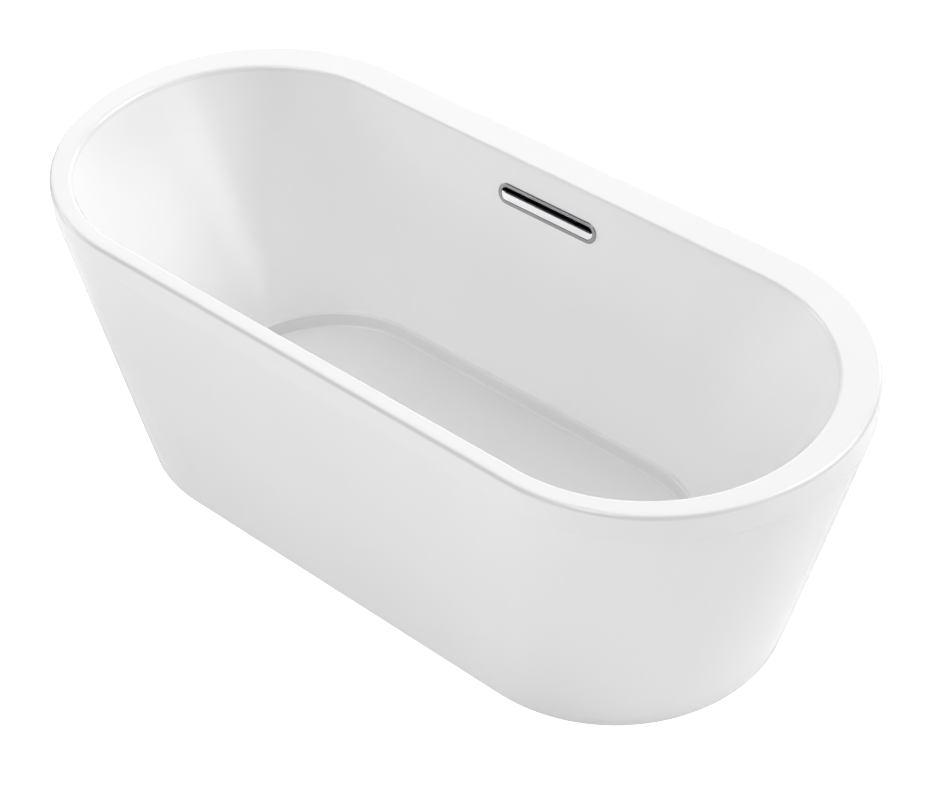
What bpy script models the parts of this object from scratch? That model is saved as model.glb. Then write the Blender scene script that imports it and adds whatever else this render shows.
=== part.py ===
"""Freestanding double-skinned acrylic bathtub, in metres, +Z up.

The origin is on the floor under the middle of the rim. +X runs along the bath and +Y points to the
overflow side. The basin hangs from its rim inside an outer skirt. A steel frame on screw feet carries
the basin through a board, and the waste and the overflow meet in a tee under the floor.
"""

import math

import bmesh
import bpy
from mathutils import Matrix, Vector

# ---- driving dimensions ------------------------------------------------------------------------------
RIM_LENGTH, RIM_WIDTH, HEIGHT = 1.700, 0.745, 0.600
BASE_LENGTH, BASE_WIDTH = 1.409, 0.629
APRON_HEIGHT = 0.052
RIM_EDGE_RADIUS = 0.009
ACRYLIC = 0.004
BACKING = 0.003
SKIRT_WALL = 0.005
SKIRT_FOOT_RADIUS, SKIRT_FOOT_FLANGE = 0.004, 0.034
SKIRT_LIP_DROP, BACKING_DROP = 0.018, 0.045
BATTEN_LENGTH, BATTEN_DEPTH, BATTEN_HEIGHT, BATTEN_INSET = 0.860, 0.038, 0.016, 0.015
GAP = 0.0003
FLOOR_CLEARANCE = 0.002

BASIN_Y = -0.020
MOUTH_LENGTH, MOUTH_WIDTH = 1.588, 0.636
MOUTH_EDGE_RADIUS = 0.006
RIDGE_LENGTH, RIDGE_WIDTH, RIDGE_Z = 1.079, 0.450, 0.144
FLOOR_LENGTH, FLOOR_WIDTH, FLOOR_Z = 1.054, 0.437, 0.118
SHOULDER_WIDTH = 0.0035
RIDGE_RADIUS = 0.0055
FLOOR_FILLET = 0.008

DRAIN_X, DRAIN_Y = 0.0, BASIN_Y
DRAIN_SEAT_Z = 0.1120
DRAIN_RECESS_RADIUS = 0.041
DRAIN_HOLE_RADIUS, BACKING_HOLE_RADIUS = 0.0250, 0.0385
DRAIN_FALL_RADIUS = 0.058

BOARD_LENGTH, BOARD_WIDTH, BOARD_THICKNESS, BOARD_HOLE_RADIUS = 0.960, 0.350, 0.015, 0.064
RAIL_SIDE, RAIL_WALL, RAIL_LENGTH = 0.025, 0.0015, 0.950
RAIL_SPACING = 0.310
RAIL_CAP_THICKNESS, RAIL_CAP_BEVEL = 0.003, 0.0008
CROSS_RAIL_X = (-0.400, -0.130, 0.130, 0.400)
BRACKET_X = (-0.270, 0.270)
BRACKET_WIDTH, BRACKET_THICKNESS = 0.030, 0.002
FOOT_X = (-0.440, 0.0, 0.440)
STUD_RADIUS = 0.006
STUD_TOP = 0.083
PAD_RADIUS, PAD_HEIGHT, PAD_SOCKET_DEPTH = 0.024, 0.012, 0.0075
COLLAR_RADIUS = 0.0095
CLEARANCE = 0.0005
NUT_ACROSS, NUT_HEIGHT = 0.0190, 0.0100

OVERFLOW_Z = 0.524
SLOT_LENGTH, SLOT_HEIGHT = 0.2265, 0.0335
BACKING_HOLE_LENGTH, BACKING_HOLE_HEIGHT = 0.262, 0.070
BEZEL_LENGTH, BEZEL_HEIGHT, BEZEL_FRONT, BEZEL_BACK = 0.235, 0.042, 0.0032, 0.013
BEZEL_SLEEVE, BAR_WIDTH, BAR_THICKNESS, BAR_DEPTH = 0.0015, 0.014, 0.002, 0.012
OPENING_LENGTH, OPENING_HEIGHT = 0.2220, 0.0290
PLATE_LENGTH, PLATE_HEIGHT, PLATE_TILT = 0.2210, 0.0280, math.radians(11)
PLATE_TOP_SHARE = 0.54
PLATE_FRONT = 0.0042
POST_RADIUS, POST_LENGTH, POST_DROP = 0.0030, 0.0132, 0.0090
GASKET_LENGTH, GASKET_HEIGHT, GASKET_THICKNESS = 0.252, 0.060, 0.003
CHAMBER_LENGTH, CHAMBER_HEIGHT, CHAMBER_WALL, CHAMBER_FLANGE = 0.236, 0.044, 0.003, 0.010
PIPE_RADIUS, PIPE_WALL, PIPE_BEND = 0.0145, 0.002, 0.045
SOCKET_WALL = 0.0034
TEE_RADIUS, TEE_BORE_RADIUS, TEE_HEIGHT, TEE_RISE, TEE_REACH = 0.026, 0.0196, 0.043, 0.0035, 0.054
OUTLET_X = 0.070
SCREW_X = 0.060
CHAMBER_DEPTH = 0.050
PIPE_OUT = -0.0315
TEE_Z = 0.036

ARC_STEPS = 14
TURN_STEPS = 20
FINE_TURN_STEPS = 24
SMALL_TURN_STEPS = 16
BORE_STEPS = 12

# ---- derived places ----------------------------------------------------------------------------------
BOARD_TOP = FLOOR_Z - ACRYLIC - BACKING - 3 * GAP
BOARD_BOTTOM = BOARD_TOP - BOARD_THICKNESS
RAIL_TOP = BOARD_BOTTOM - GAP
RAIL_Z = RAIL_TOP - RAIL_SIDE / 2
RAIL_BOTTOM = RAIL_TOP - RAIL_SIDE
RAIL_Y = (BASIN_Y - RAIL_SPACING / 2, BASIN_Y + RAIL_SPACING / 2)
CREASE_Z = HEIGHT - APRON_HEIGHT
WALL_RISE = HEIGHT - RIDGE_Z
WALL_LEAN = math.atan2((MOUTH_WIDTH - RIDGE_WIDTH) / 2 - SHOULDER_WIDTH, WALL_RISE)
OVERFLOW_Y = BASIN_Y + RIDGE_WIDTH / 2 + SHOULDER_WIDTH + (OVERFLOW_Z - RIDGE_Z) * math.tan(WALL_LEAN)

PARTS = "freestanding_bathtub"
HELPERS = "cutters"


# ---- scene and materials -----------------------------------------------------------------------------
def clear_scene():
    """Remove every object, and make the two collections that the model uses."""
    for old in list(bpy.data.objects):
        bpy.data.objects.remove(old, do_unlink=True)
    for name in (PARTS, HELPERS):
        collection = bpy.data.collections.new(name)
        bpy.context.scene.collection.children.link(collection)


def make_material(name, colour, roughness, metallic=0.0):
    """A Principled material of one colour."""
    material = bpy.data.materials.new(name)
    material.use_nodes = True
    shader = material.node_tree.nodes["Principled BSDF"]
    shader.inputs["Base Color"].default_value = (*colour, 1.0)
    shader.inputs["Roughness"].default_value = roughness
    shader.inputs["Metallic"].default_value = metallic
    material.diffuse_color = (*colour, 1.0)
    return material


def make_materials():
    """Every finish of the bath, by name."""
    return {
        "acrylic": make_material("acrylic", (0.90, 0.90, 0.90), 0.12),
        "glass_fibre": make_material("glass_fibre", (0.72, 0.68, 0.52), 0.60),
        "board": make_material("board", (0.45, 0.50, 0.38), 0.80),
        "timber": make_material("timber", (0.62, 0.45, 0.27), 0.75),
        "zinc_steel": make_material("zinc_steel", (0.60, 0.61, 0.62), 0.40, 1.0),
        "chrome": make_material("chrome", (0.86, 0.87, 0.88), 0.06, 1.0),
        "brass": make_material("brass", (0.72, 0.56, 0.30), 0.30, 1.0),
        "pipe_plastic": make_material("pipe_plastic", (0.85, 0.85, 0.84), 0.45),
        "black_plastic": make_material("black_plastic", (0.05, 0.05, 0.05), 0.50),
        "rubber": make_material("rubber", (0.04, 0.04, 0.04), 0.75),
    }


# ---- shape tools -------------------------------------------------------------------------------------
def place(obj, material=None, helper=False):
    """Move obj to its collection and give it its material. A helper only cuts other objects."""
    for collection in list(obj.users_collection):
        collection.objects.unlink(obj)
    bpy.data.collections[HELPERS if helper else PARTS].objects.link(obj)
    if helper:
        obj.hide_render = True
        obj.display_type = "WIRE"
    if material is not None:
        obj.data.materials.clear()
        obj.data.materials.append(material)
    return obj


def from_bmesh(name, bm, material=None, helper=False):
    """A new object from bm, which is used up."""
    mesh = bpy.data.meshes.new(name)
    bm.to_mesh(mesh)
    bm.free()
    obj = bpy.data.objects.new(name, mesh)
    bpy.context.scene.collection.objects.link(obj)
    return place(obj, material, helper)


def smooth(obj, degrees=35):
    """Shade obj smooth, with its corners kept sharp."""
    obj.data.shade_smooth()
    obj.data.set_sharp_from_angle(angle=math.radians(degrees))
    return obj


def cut(obj, cutter, operation="DIFFERENCE"):
    """Cut obj by cutter, or join the two."""
    modifier = obj.modifiers.new(cutter.name, "BOOLEAN")
    modifier.operation = operation
    modifier.object = cutter
    return obj


def solidify(obj, thickness):
    """Give an open surface its thickness, on the side away from its normals."""
    modifier = obj.modifiers.new("thickness", "SOLIDIFY")
    modifier.thickness = thickness
    modifier.offset = -1
    modifier.use_even_offset = True
    modifier.use_quality_normals = True
    return obj


def baked_mesh(obj):
    """The mesh of obj with its modifiers applied, for several objects to share."""
    graph = bpy.context.evaluated_depsgraph_get()
    graph.update()
    return bpy.data.meshes.new_from_object(obj.evaluated_get(graph))


def copies(names, mesh, places, material):
    """One object for each name, all sharing mesh, each at its own place."""
    made = []
    for name, where in zip(names, places):
        obj = bpy.data.objects.new(name, mesh)
        bpy.context.scene.collection.objects.link(obj)
        obj.location = where
        made.append(place(obj, material))
    return made


def stadium(length, width, z, centre_y=0.0, grow=0.0):
    """A ring of points round an outline with straight sides and half-round ends, counter-clockwise."""
    radius = width / 2 + grow
    straight = (length - width) / 2
    ring = []
    for side, start in ((1, -math.pi / 2), (-1, math.pi / 2)):
        for step in range(ARC_STEPS + 1):
            angle = start + math.pi * step / ARC_STEPS
            ring.append(Vector((side * straight + radius * math.cos(angle),
                                centre_y + radius * math.sin(angle), z)))
    return ring


def circle(radius, z, x=0.0, y=0.0):
    """A ring with as many points as a stadium, in the same order."""
    ring = []
    for start in (-math.pi / 2, math.pi / 2):
        for step in range(ARC_STEPS + 1):
            angle = start + math.pi * (step + 0.5) / (ARC_STEPS + 1)
            ring.append(Vector((x + radius * math.cos(angle), y + radius * math.sin(angle), z)))
    return ring


def loft(rings, fill_first=False, fill_last=False, join_ends=False):
    """A bmesh skin through rings of equally many points.

    fill_first and fill_last close the end rings with one face each. join_ends joins the last ring to
    the first.
    """
    bm = bmesh.new()
    rows = [[bm.verts.new(point) for point in ring] for ring in rings]
    pairs = list(zip(rows, rows[1:]))
    if join_ends:
        pairs.append((rows[-1], rows[0]))
    for first, second in pairs:
        for index in range(len(first)):
            after = (index + 1) % len(first)
            bm.faces.new((first[index], first[after], second[after], second[index]))
    if fill_first:
        bm.faces.new(list(reversed(rows[0])))
    if fill_last:
        bm.faces.new(rows[-1])
    bm.normal_update()
    return bm


def sink(bm, depth):
    """Move a skin away from its normals by depth, measured square to its faces."""
    moves = {vert: vert.normal * depth * vert.calc_shell_factor() for vert in bm.verts}
    for vert, move in moves.items():
        vert.co -= move
    bm.normal_update()
    return bm


def turned(name, profile, where, material=None, steps=TURN_STEPS, helper=False):
    """A turned piece. The profile is (radius, height) pairs that run down its outer side.

    A profile that starts and ends at radius 0 is solid; any other is closed into a ring.
    """
    bm = bmesh.new()
    verts = [bm.verts.new((radius, 0, height)) for radius, height in profile]
    on_axis = profile[0][0] == 0 and profile[-1][0] == 0
    ends = verts[1:] if on_axis else verts[1:] + verts[:1]
    for first, second in zip(verts, ends):
        bm.edges.new((first, second))
    obj = from_bmesh(name, bm, material, helper)
    obj.location = where
    screw = obj.modifiers.new("turn", "SCREW")
    screw.steps = screw.render_steps = steps
    screw.use_merge_vertices = True
    screw.merge_threshold = 0.00001
    screw.use_smooth_shade = False
    return obj


def box_skin(size):
    """The skin of a rectangular block round its centre."""
    bm = bmesh.new()
    bmesh.ops.create_cube(bm, size=1.0)
    bmesh.ops.scale(bm, vec=size, verts=bm.verts)
    return bm


def block(name, size, centre, material=None, helper=False):
    """A rectangular block."""
    obj = from_bmesh(name, box_skin(size), material, helper)
    obj.location = centre
    return obj


def rod(name, radius, length, centre, turn=None, material=None, helper=False, sides=TURN_STEPS):
    """A cylinder along local Z, turned by the rotation matrix turn."""
    bm = bmesh.new()
    bmesh.ops.create_cone(bm, cap_ends=True, segments=sides, radius1=radius, radius2=radius, depth=length)
    obj = from_bmesh(name, bm, material, helper)
    obj.matrix_world = Matrix.Translation(centre) @ (turn or Matrix.Identity(4))
    return obj


def arc(centre, radius, start, end, steps):
    """Points (a, b) on an arc, by angles in degrees."""
    points = []
    for step in range(steps + 1):
        angle = math.radians(start + (end - start) * step / steps)
        points.append((centre[0] + radius * math.cos(angle), centre[1] + radius * math.sin(angle)))
    return points


# ---- shells ------------------------------------------------------------------------------------------
def rim_rings():
    """The apron and the deck, from the apron's lower edge to the start of the mouth's round edge."""
    rings = [stadium(RIM_LENGTH, RIM_WIDTH, CREASE_Z)]
    for grow, z in arc((-RIM_EDGE_RADIUS, HEIGHT - RIM_EDGE_RADIUS), RIM_EDGE_RADIUS, 0, 90, 3):
        rings.append(stadium(RIM_LENGTH, RIM_WIDTH, z, grow=grow))
    return rings


def wall_ring(z, grow=0.0):
    """The basin wall's outline at a height, on the straight slope from mouth to ridge."""
    share = (HEIGHT - z) / WALL_RISE
    length = MOUTH_LENGTH + (RIDGE_LENGTH + 2 * SHOULDER_WIDTH - MOUTH_LENGTH) * share
    width = MOUTH_WIDTH + (RIDGE_WIDTH + 2 * SHOULDER_WIDTH - MOUTH_WIDTH) * share
    return stadium(length, width, z, BASIN_Y, grow)


def mouth_rings():
    """The round edge between the deck and the leaning basin wall."""
    edge = arc((MOUTH_EDGE_RADIUS, HEIGHT - MOUTH_EDGE_RADIUS), MOUTH_EDGE_RADIUS, 90, 165, 3)
    return [wall_ring(z, grow) for grow, z in edge]


def basin_rings():
    """The basin below its mouth: wall, ledge, rolled ridge, step, floor and the drain's recess."""
    rings = [wall_ring(HEIGHT - 0.15), wall_ring(RIDGE_Z + 0.006)]
    rings.append(stadium(RIDGE_LENGTH, RIDGE_WIDTH, RIDGE_Z, BASIN_Y, SHOULDER_WIDTH - 0.001))
    for grow, z in arc((0.001, RIDGE_Z - RIDGE_RADIUS), RIDGE_RADIUS, 90, 165, 2):
        rings.append(stadium(RIDGE_LENGTH, RIDGE_WIDTH, z, BASIN_Y, grow))
    for grow, z in arc((-FLOOR_FILLET, FLOOR_Z + FLOOR_FILLET), FLOOR_FILLET, -10, -90, 2):
        rings.append(stadium(FLOOR_LENGTH, FLOOR_WIDTH, z, BASIN_Y, grow))
    return rings + drain_rings()


def backing_rings():
    """The hidden side of the basin, drawn plainly: wall, step, floor and the drain's recess."""
    rings = [wall_ring(HEIGHT - BACKING_DROP), wall_ring(RIDGE_Z)]
    rings.append(stadium(FLOOR_LENGTH, FLOOR_WIDTH, FLOOR_Z, BASIN_Y, 0.001))
    return rings + drain_rings()


def drain_rings():
    """The recess that the drain sits in, from the edge of its fall to its seat."""
    return [circle(DRAIN_FALL_RADIUS, FLOOR_Z, DRAIN_X, DRAIN_Y),
            circle(DRAIN_RECESS_RADIUS, DRAIN_SEAT_Z, DRAIN_X, DRAIN_Y)]


def make_basin(mat, tools):
    """The inner acrylic shell: apron, deck, basin and floor in one formed sheet."""
    bm = loft(rim_rings() + mouth_rings() + basin_rings(), fill_last=True)
    basin = solidify(from_bmesh("basin_shell", bm, mat["acrylic"]), ACRYLIC)
    cut(basin, tools["drain_hole"])
    cut(basin, tools["overflow_slot"])
    return smooth(basin)


def make_backing(mat, tools):
    """The glass fibre laid on the hidden side of the basin, from below the rim to the drain."""
    bm = loft(backing_rings(), fill_last=True)
    backing = from_bmesh("basin_backing", sink(bm, ACRYLIC + GAP), mat["glass_fibre"])
    solidify(backing, BACKING)
    cut(backing, tools["backing_drain_hole"])
    cut(backing, tools["backing_overflow_hole"])
    return smooth(backing)


def make_skirt(mat):
    """The outer shell: inward foot flange, tapered wall, and a joggle that slips inside the apron."""
    inset = ACRYLIC + 2 * GAP
    low, radius = FLOOR_CLEARANCE, SKIRT_FOOT_RADIUS
    rings = [stadium(BASE_LENGTH, BASE_WIDTH, low, grow=-SKIRT_FOOT_FLANGE)]
    for grow, z in arc((-radius, low + radius), radius, -90, 0, 2):
        rings.append(stadium(BASE_LENGTH, BASE_WIDTH, z, grow=grow))
    top = CREASE_Z - 2 * GAP
    rings.append(stadium(RIM_LENGTH, RIM_WIDTH, top - 0.001))
    rings.append(stadium(RIM_LENGTH, RIM_WIDTH, top, grow=-0.001))
    rings.append(stadium(RIM_LENGTH, RIM_WIDTH, top, grow=-inset))
    rings.append(stadium(RIM_LENGTH, RIM_WIDTH, HEIGHT - SKIRT_LIP_DROP, grow=-inset))
    skirt = solidify(from_bmesh("outer_skirt", loft(rings), mat["acrylic"]), SKIRT_WALL)
    return smooth(skirt)


def make_board(mat, tools):
    """The board that spreads the load under the floor."""
    rings = [stadium(BOARD_LENGTH, BOARD_WIDTH, z, BASIN_Y) for z in (BOARD_BOTTOM, BOARD_TOP)]
    board = from_bmesh("base_board", loft(rings, fill_first=True, fill_last=True), mat["board"])
    return cut(board, tools["board_hole"])


# ---- frame and feet ----------------------------------------------------------------------------------
def box_tube(name, length, along_x, centre, mat):
    """A length of square steel tube, open at both ends."""
    size = (length, RAIL_SIDE, RAIL_SIDE) if along_x else (RAIL_SIDE, length, RAIL_SIDE)
    bm = box_skin(size)
    bm.normal_update()
    axis = 0 if along_x else 1
    ends = [face for face in bm.faces if round(abs(face.normal[axis])) == 1]
    bmesh.ops.delete(bm, geom=ends, context="FACES_ONLY")
    tube = from_bmesh(name, bm, mat)
    tube.location = centre
    return solidify(tube, RAIL_WALL)


def make_frame(mat, tools):
    """Two long rails with plastic end caps, four cross rails, and the brackets that hold the skirt."""
    for side, y in zip(("front", "back"), RAIL_Y):
        rail = box_tube(f"frame_rail_{side}", RAIL_LENGTH, True, (0, y, RAIL_Z), mat["zinc_steel"])
        for cutter in tools["stud_holes"][side]:
            cut(rail, cutter)
        for end, sign in (("left", -1), ("right", 1)):
            x = sign * (RAIL_LENGTH / 2 + RAIL_CAP_THICKNESS / 2 + GAP)
            size = (RAIL_CAP_THICKNESS, RAIL_SIDE - 2 * CLEARANCE, RAIL_SIDE - 2 * CLEARANCE)
            cap = block(f"rail_cap_{side}_{end}", size, (x, y, RAIL_Z), mat["black_plastic"])
            bevel = cap.modifiers.new("round", "BEVEL")
            bevel.width = RAIL_CAP_BEVEL
            bevel.segments = 1
    length = RAIL_SPACING - RAIL_SIDE - 2 * GAP
    for number, x in enumerate(CROSS_RAIL_X, 1):
        box_tube(f"frame_cross_rail_{number}", length, False, (x, BASIN_Y, RAIL_Z), mat["zinc_steel"])
    make_skirt_brackets(mat)


def make_skirt_brackets(mat):
    """Bent strips from under the long rails down to the skirt's foot flange."""
    foot_z = FLOOR_CLEARANCE + SKIRT_WALL + BRACKET_THICKNESS + 2 * GAP
    hang_z = RAIL_BOTTOM - GAP
    overlap, web_inset, foot_inset = 0.010, 0.046, 0.020
    number = 0
    for y, sign in zip(RAIL_Y, (-1, 1)):
        web_y = sign * (BASE_WIDTH / 2 - web_inset)
        foot_y = sign * (BASE_WIDTH / 2 - foot_inset)
        route = ((y - sign * overlap, hang_z), (web_y, hang_z), (web_y, foot_z), (foot_y, foot_z))
        for x in BRACKET_X:
            number += 1
            strip = bracket_skin(route, (x - BRACKET_WIDTH / 2, x + BRACKET_WIDTH / 2), sign > 0)
            bracket = from_bmesh(f"skirt_bracket_{number}", strip, mat["zinc_steel"])
            solidify(bracket, BRACKET_THICKNESS)


def bracket_skin(route, edges, runs_back):
    """A strip along a route of (y, z) points, between two x edges, facing up where it lies flat."""
    bm = bmesh.new()
    rows = [[bm.verts.new((x, y, z)) for x in edges] for y, z in route]
    for first, second in zip(rows, rows[1:]):
        corners = (first[0], first[1], second[1], second[0])
        bm.faces.new(corners if runs_back else tuple(reversed(corners)))
    bm.normal_update()
    return bm


def make_feet(mat, tools):
    """Screw feet: a plastic pad, a threaded stud standing in it, and a nut fixed under the rail."""
    spots = [(x, y) for y in RAIL_Y for x in FOOT_X]
    socket = STUD_RADIUS + 0.0012
    pad = turned("pad_pattern", [
        (socket, PAD_HEIGHT), (0.0125, PAD_HEIGHT), (PAD_RADIUS - 0.001, 0.005), (PAD_RADIUS, 0.0035),
        (PAD_RADIUS, 0), (0, 0), (0, PAD_HEIGHT - PAD_SOCKET_DEPTH), (socket, PAD_HEIGHT - PAD_SOCKET_DEPTH)],
        (0, 0, 0), steps=SMALL_TURN_STEPS, helper=True)
    stud = turned("stud_pattern", [
        (0, STUD_TOP), (STUD_RADIUS - 0.001, STUD_TOP), (STUD_RADIUS, STUD_TOP - 0.001),
        (STUD_RADIUS, 0.0210), (COLLAR_RADIUS, 0.0205), (COLLAR_RADIUS, 0.0145), (STUD_RADIUS, 0.0140),
        (STUD_RADIUS, 0.0050), (0, 0.0050)], (0, 0, 0), helper=True, steps=BORE_STEPS)
    nut = rod("nut_pattern", NUT_ACROSS / math.sqrt(3), NUT_HEIGHT, (0, 0, 0), sides=6, helper=True)
    cut(nut, tools["nut_bore"])
    nut_z = RAIL_BOTTOM - GAP - NUT_HEIGHT / 2
    for kind, pattern, z, material in (("pad", pad, 0.0, "black_plastic"), ("stud", stud, 0.0, "zinc_steel"),
                                       ("nut", nut, nut_z, "zinc_steel")):
        names = [f"foot_{kind}_{number}" for number in range(1, len(spots) + 1)]
        copies(names, baked_mesh(pattern), [(x, y, z) for x, y in spots], mat[material])


# ---- drain -------------------------------------------------------------------------------------------
def make_drain(mat, tools):
    """The waste through the floor: flange, washers, body, and the press-to-open stopper in it."""
    at = (DRAIN_X, DRAIN_Y, 0)
    seat = DRAIN_SEAT_Z
    flange = turned("drain_flange", [
        (0.0215, seat + 0.0045), (0.0340, seat + 0.0045), (0.0360, seat + 0.0035), (0.0360, seat + 0.0018),
        (0.0235, seat + 0.0018), (0.0235, 0.0840), (0.0205, 0.0840), (0.0205, seat + 0.0030)],
        at, mat["chrome"], steps=FINE_TURN_STEPS)
    cut(flange, tools["strainer"], "UNION")
    turned("flange_gasket", [
        (0.0240, seat + 0.0015), (0.0350, seat + 0.0015), (0.0350, seat + GAP), (0.0240, seat + GAP)],
        at, mat["rubber"])
    under = seat - ACRYLIC
    turned("body_gasket", [
        (0.0262, under - GAP), (0.0370, under - GAP), (0.0370, under - 0.0040), (0.0262, under - 0.0040)],
        at, mat["rubber"])
    turned("drain_body", [
        (0.0240, under - 0.0043), (0.0370, under - 0.0043), (0.0370, under - 0.0090),
        (0.0290, under - 0.0110), (0.0290, 0.0750), (0.0215, 0.0700), (0.0215, 0.0614), (0.0185, 0.0614),
        (0.0185, 0.0780), (0.0240, 0.0820)],
        at, mat["brass"])
    make_stopper(mat, at, seat + 0.0045)


def make_stopper(mat, at, flange_top):
    """The press-to-open stopper, shut: cap, seal, plunger, return spring and the barrel they slide in."""
    under_cap = flange_top + GAP
    turned("stopper_cap", [
        (0, under_cap + 0.0058), (0.0100, under_cap + 0.0054), (0.0200, under_cap + 0.0042),
        (0.0265, under_cap + 0.0024), (0.0275, under_cap + 0.0012), (0.0270, under_cap),
        (0, under_cap)], at, mat["chrome"], steps=FINE_TURN_STEPS)
    turned("stopper_seal", [
        (0.0120, under_cap - GAP), (0.0185, under_cap - GAP), (0.0198, under_cap - 0.0016),
        (0.0185, under_cap - 0.0030), (0.0120, under_cap - 0.0030)], at, mat["rubber"])
    turned("stopper_plunger", [
        (0, under_cap - GAP), (0.0090, under_cap - GAP), (0.0090, under_cap - 0.0035),
        (0.0035, under_cap - 0.0045), (0.0035, 0.1015), (0.0060, 0.1015), (0.0060, 0.1000),
        (0.0035, 0.1000), (0.0035, 0.0915), (0, 0.0915)], at, mat["brass"], steps=SMALL_TURN_STEPS)
    turned("stopper_barrel", [
        (0.0066, 0.1105), (0.0080, 0.1105), (0.0080, 0.0885), (0.0010, 0.0885), (0.0010, 0.0900),
        (0.0066, 0.0900)], at, mat["brass"], steps=SMALL_TURN_STEPS)
    coil(mat, at, radius=0.0049, wire=0.0005, low=0.0908, high=0.0992, turns=4)


def coil(mat, at, radius, wire, low, high, turns):
    """The stopper's return spring, a helix that stands on the barrel's floor."""
    curve = bpy.data.curves.new("stopper_spring", "CURVE")
    curve.dimensions = "3D"
    curve.bevel_depth = wire
    curve.bevel_resolution = 1
    curve.use_fill_caps = True
    spline = curve.splines.new("POLY")
    around = 8
    count = turns * around
    spline.points.add(count)
    for index in range(count + 1):
        angle = 2 * math.pi * index / around
        height = low + (high - low) * index / count
        spline.points[index].co = (radius * math.cos(angle), radius * math.sin(angle), height, 1)
    spring = bpy.data.objects.new("stopper_spring", curve)
    bpy.context.scene.collection.objects.link(spring)
    spring.location = at
    return place(spring, mat["zinc_steel"])


# ---- waste and overflow ------------------------------------------------------------------------------
def overflow_frame():
    """An empty at the overflow: local X along the bath, Y up the wall, and Z out into the basin."""
    empty = bpy.data.objects.new("overflow_frame", None)
    bpy.context.scene.collection.objects.link(empty)
    empty.location = (0, OVERFLOW_Y, OVERFLOW_Z)
    empty.rotation_euler = (math.pi / 2 - WALL_LEAN, 0, 0)
    bpy.context.view_layer.update()
    return empty


def overflow_point(frame, x, up, out):
    """A point of the overflow's frame, in world coordinates."""
    return frame.matrix_world @ Vector((x, up, out))


def pill_ring(name, sections, frame, material=None, helper=False, closed=True):
    """A loft of pill outlines in the overflow's frame, from (length, height, depth) sections.

    A closed one is a ring with a hole; an open one is a solid, capped at both ends.
    """
    rings = [stadium(length, height, depth) for length, height, depth in sections]
    bm = loft(rings, fill_first=not closed, fill_last=not closed, join_ends=closed)
    obj = from_bmesh(name, bm, material, helper)
    obj.parent = frame
    return obj


def in_frame(obj, frame):
    """Put obj into the overflow's frame, keeping its own coordinates as local ones."""
    obj.parent = frame
    return obj


def make_overflow(mat, tools, frame):
    """The overflow in the back wall: bezel, inner plate, gasket, chamber behind the wall, and screws."""
    make_bezel(mat, tools, frame)
    make_overflow_plate(mat, frame)
    back = -ACRYLIC - GAP
    gasket_back = back - GASKET_THICKNESS
    bore = (SLOT_LENGTH + 0.002, SLOT_HEIGHT + 0.002)
    rim = (GASKET_LENGTH, GASKET_HEIGHT)
    sections = [(*bore, gasket_back), (*rim, gasket_back), (*rim, back), (*bore, back)]
    pill_ring("overflow_gasket", sections, frame, mat["rubber"])
    make_chamber(mat, tools, frame, gasket_back - GAP, back - CHAMBER_DEPTH)
    for name, x in (("left", -SCREW_X), ("right", SCREW_X)):
        screw = turned(f"overflow_screw_{name}", [
            (0, -0.0085), (0.0030, -0.0087), (0.0048, -0.0100), (0.0048, -0.0107), (0.0020, -0.0107),
            (0.0020, -0.0300), (0, -0.0300)], (x, 0, 0), mat["zinc_steel"], steps=BORE_STEPS)
        in_frame(screw, frame)


def make_bezel(mat, tools, frame):
    """The bezel: a ring on the wall, a sleeve through the slot, and two bars that take the screws."""
    front, edge = BEZEL_FRONT, 0.0012
    opening = (OPENING_LENGTH, OPENING_HEIGHT)
    sleeve = (OPENING_LENGTH + 2 * BEZEL_SLEEVE, OPENING_HEIGHT + 2 * BEZEL_SLEEVE)
    bezel = pill_ring("overflow_bezel", [
        (*opening, -BEZEL_BACK), (*sleeve, -BEZEL_BACK), (*sleeve, GAP), (BEZEL_LENGTH, BEZEL_HEIGHT, GAP),
        (BEZEL_LENGTH, BEZEL_HEIGHT, front - edge),
        (BEZEL_LENGTH - 2 * edge, BEZEL_HEIGHT - 2 * edge, front),
        (OPENING_LENGTH + 0.0020, OPENING_HEIGHT + 0.0020, front), (*opening, front - edge)],
        frame, mat["chrome"])
    for cutter in tools["bezel_bars"]:
        cut(bezel, cutter, "UNION")
    for cutter in tools["screw_holes"]:
        cut(bezel, cutter)


def make_chamber(mat, tools, frame, front, back):
    """The moulded chamber behind the wall, with its flange, outlet spigot and two screw bosses."""
    flange = (CHAMBER_LENGTH + 2 * CHAMBER_FLANGE, CHAMBER_HEIGHT + 2 * CHAMBER_FLANGE)
    chamber = pill_ring("overflow_chamber", [
        (CHAMBER_LENGTH - 0.0080, CHAMBER_HEIGHT - 0.0080, back),
        (CHAMBER_LENGTH, CHAMBER_HEIGHT, back + 0.0020), (CHAMBER_LENGTH, CHAMBER_HEIGHT, front - 0.0032),
        (*flange, front - 0.0027), (*flange, front)],
        frame, mat["pipe_plastic"], closed=False)
    cut(chamber, tools["spigot"], "UNION")
    cut(chamber, tools["chamber_hollow"])
    cut(chamber, tools["spigot_bore"])
    for boss in tools["screw_bosses"]:
        cut(chamber, boss, "UNION")
    for hole in tools["boss_holes"]:
        cut(chamber, hole)


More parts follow.
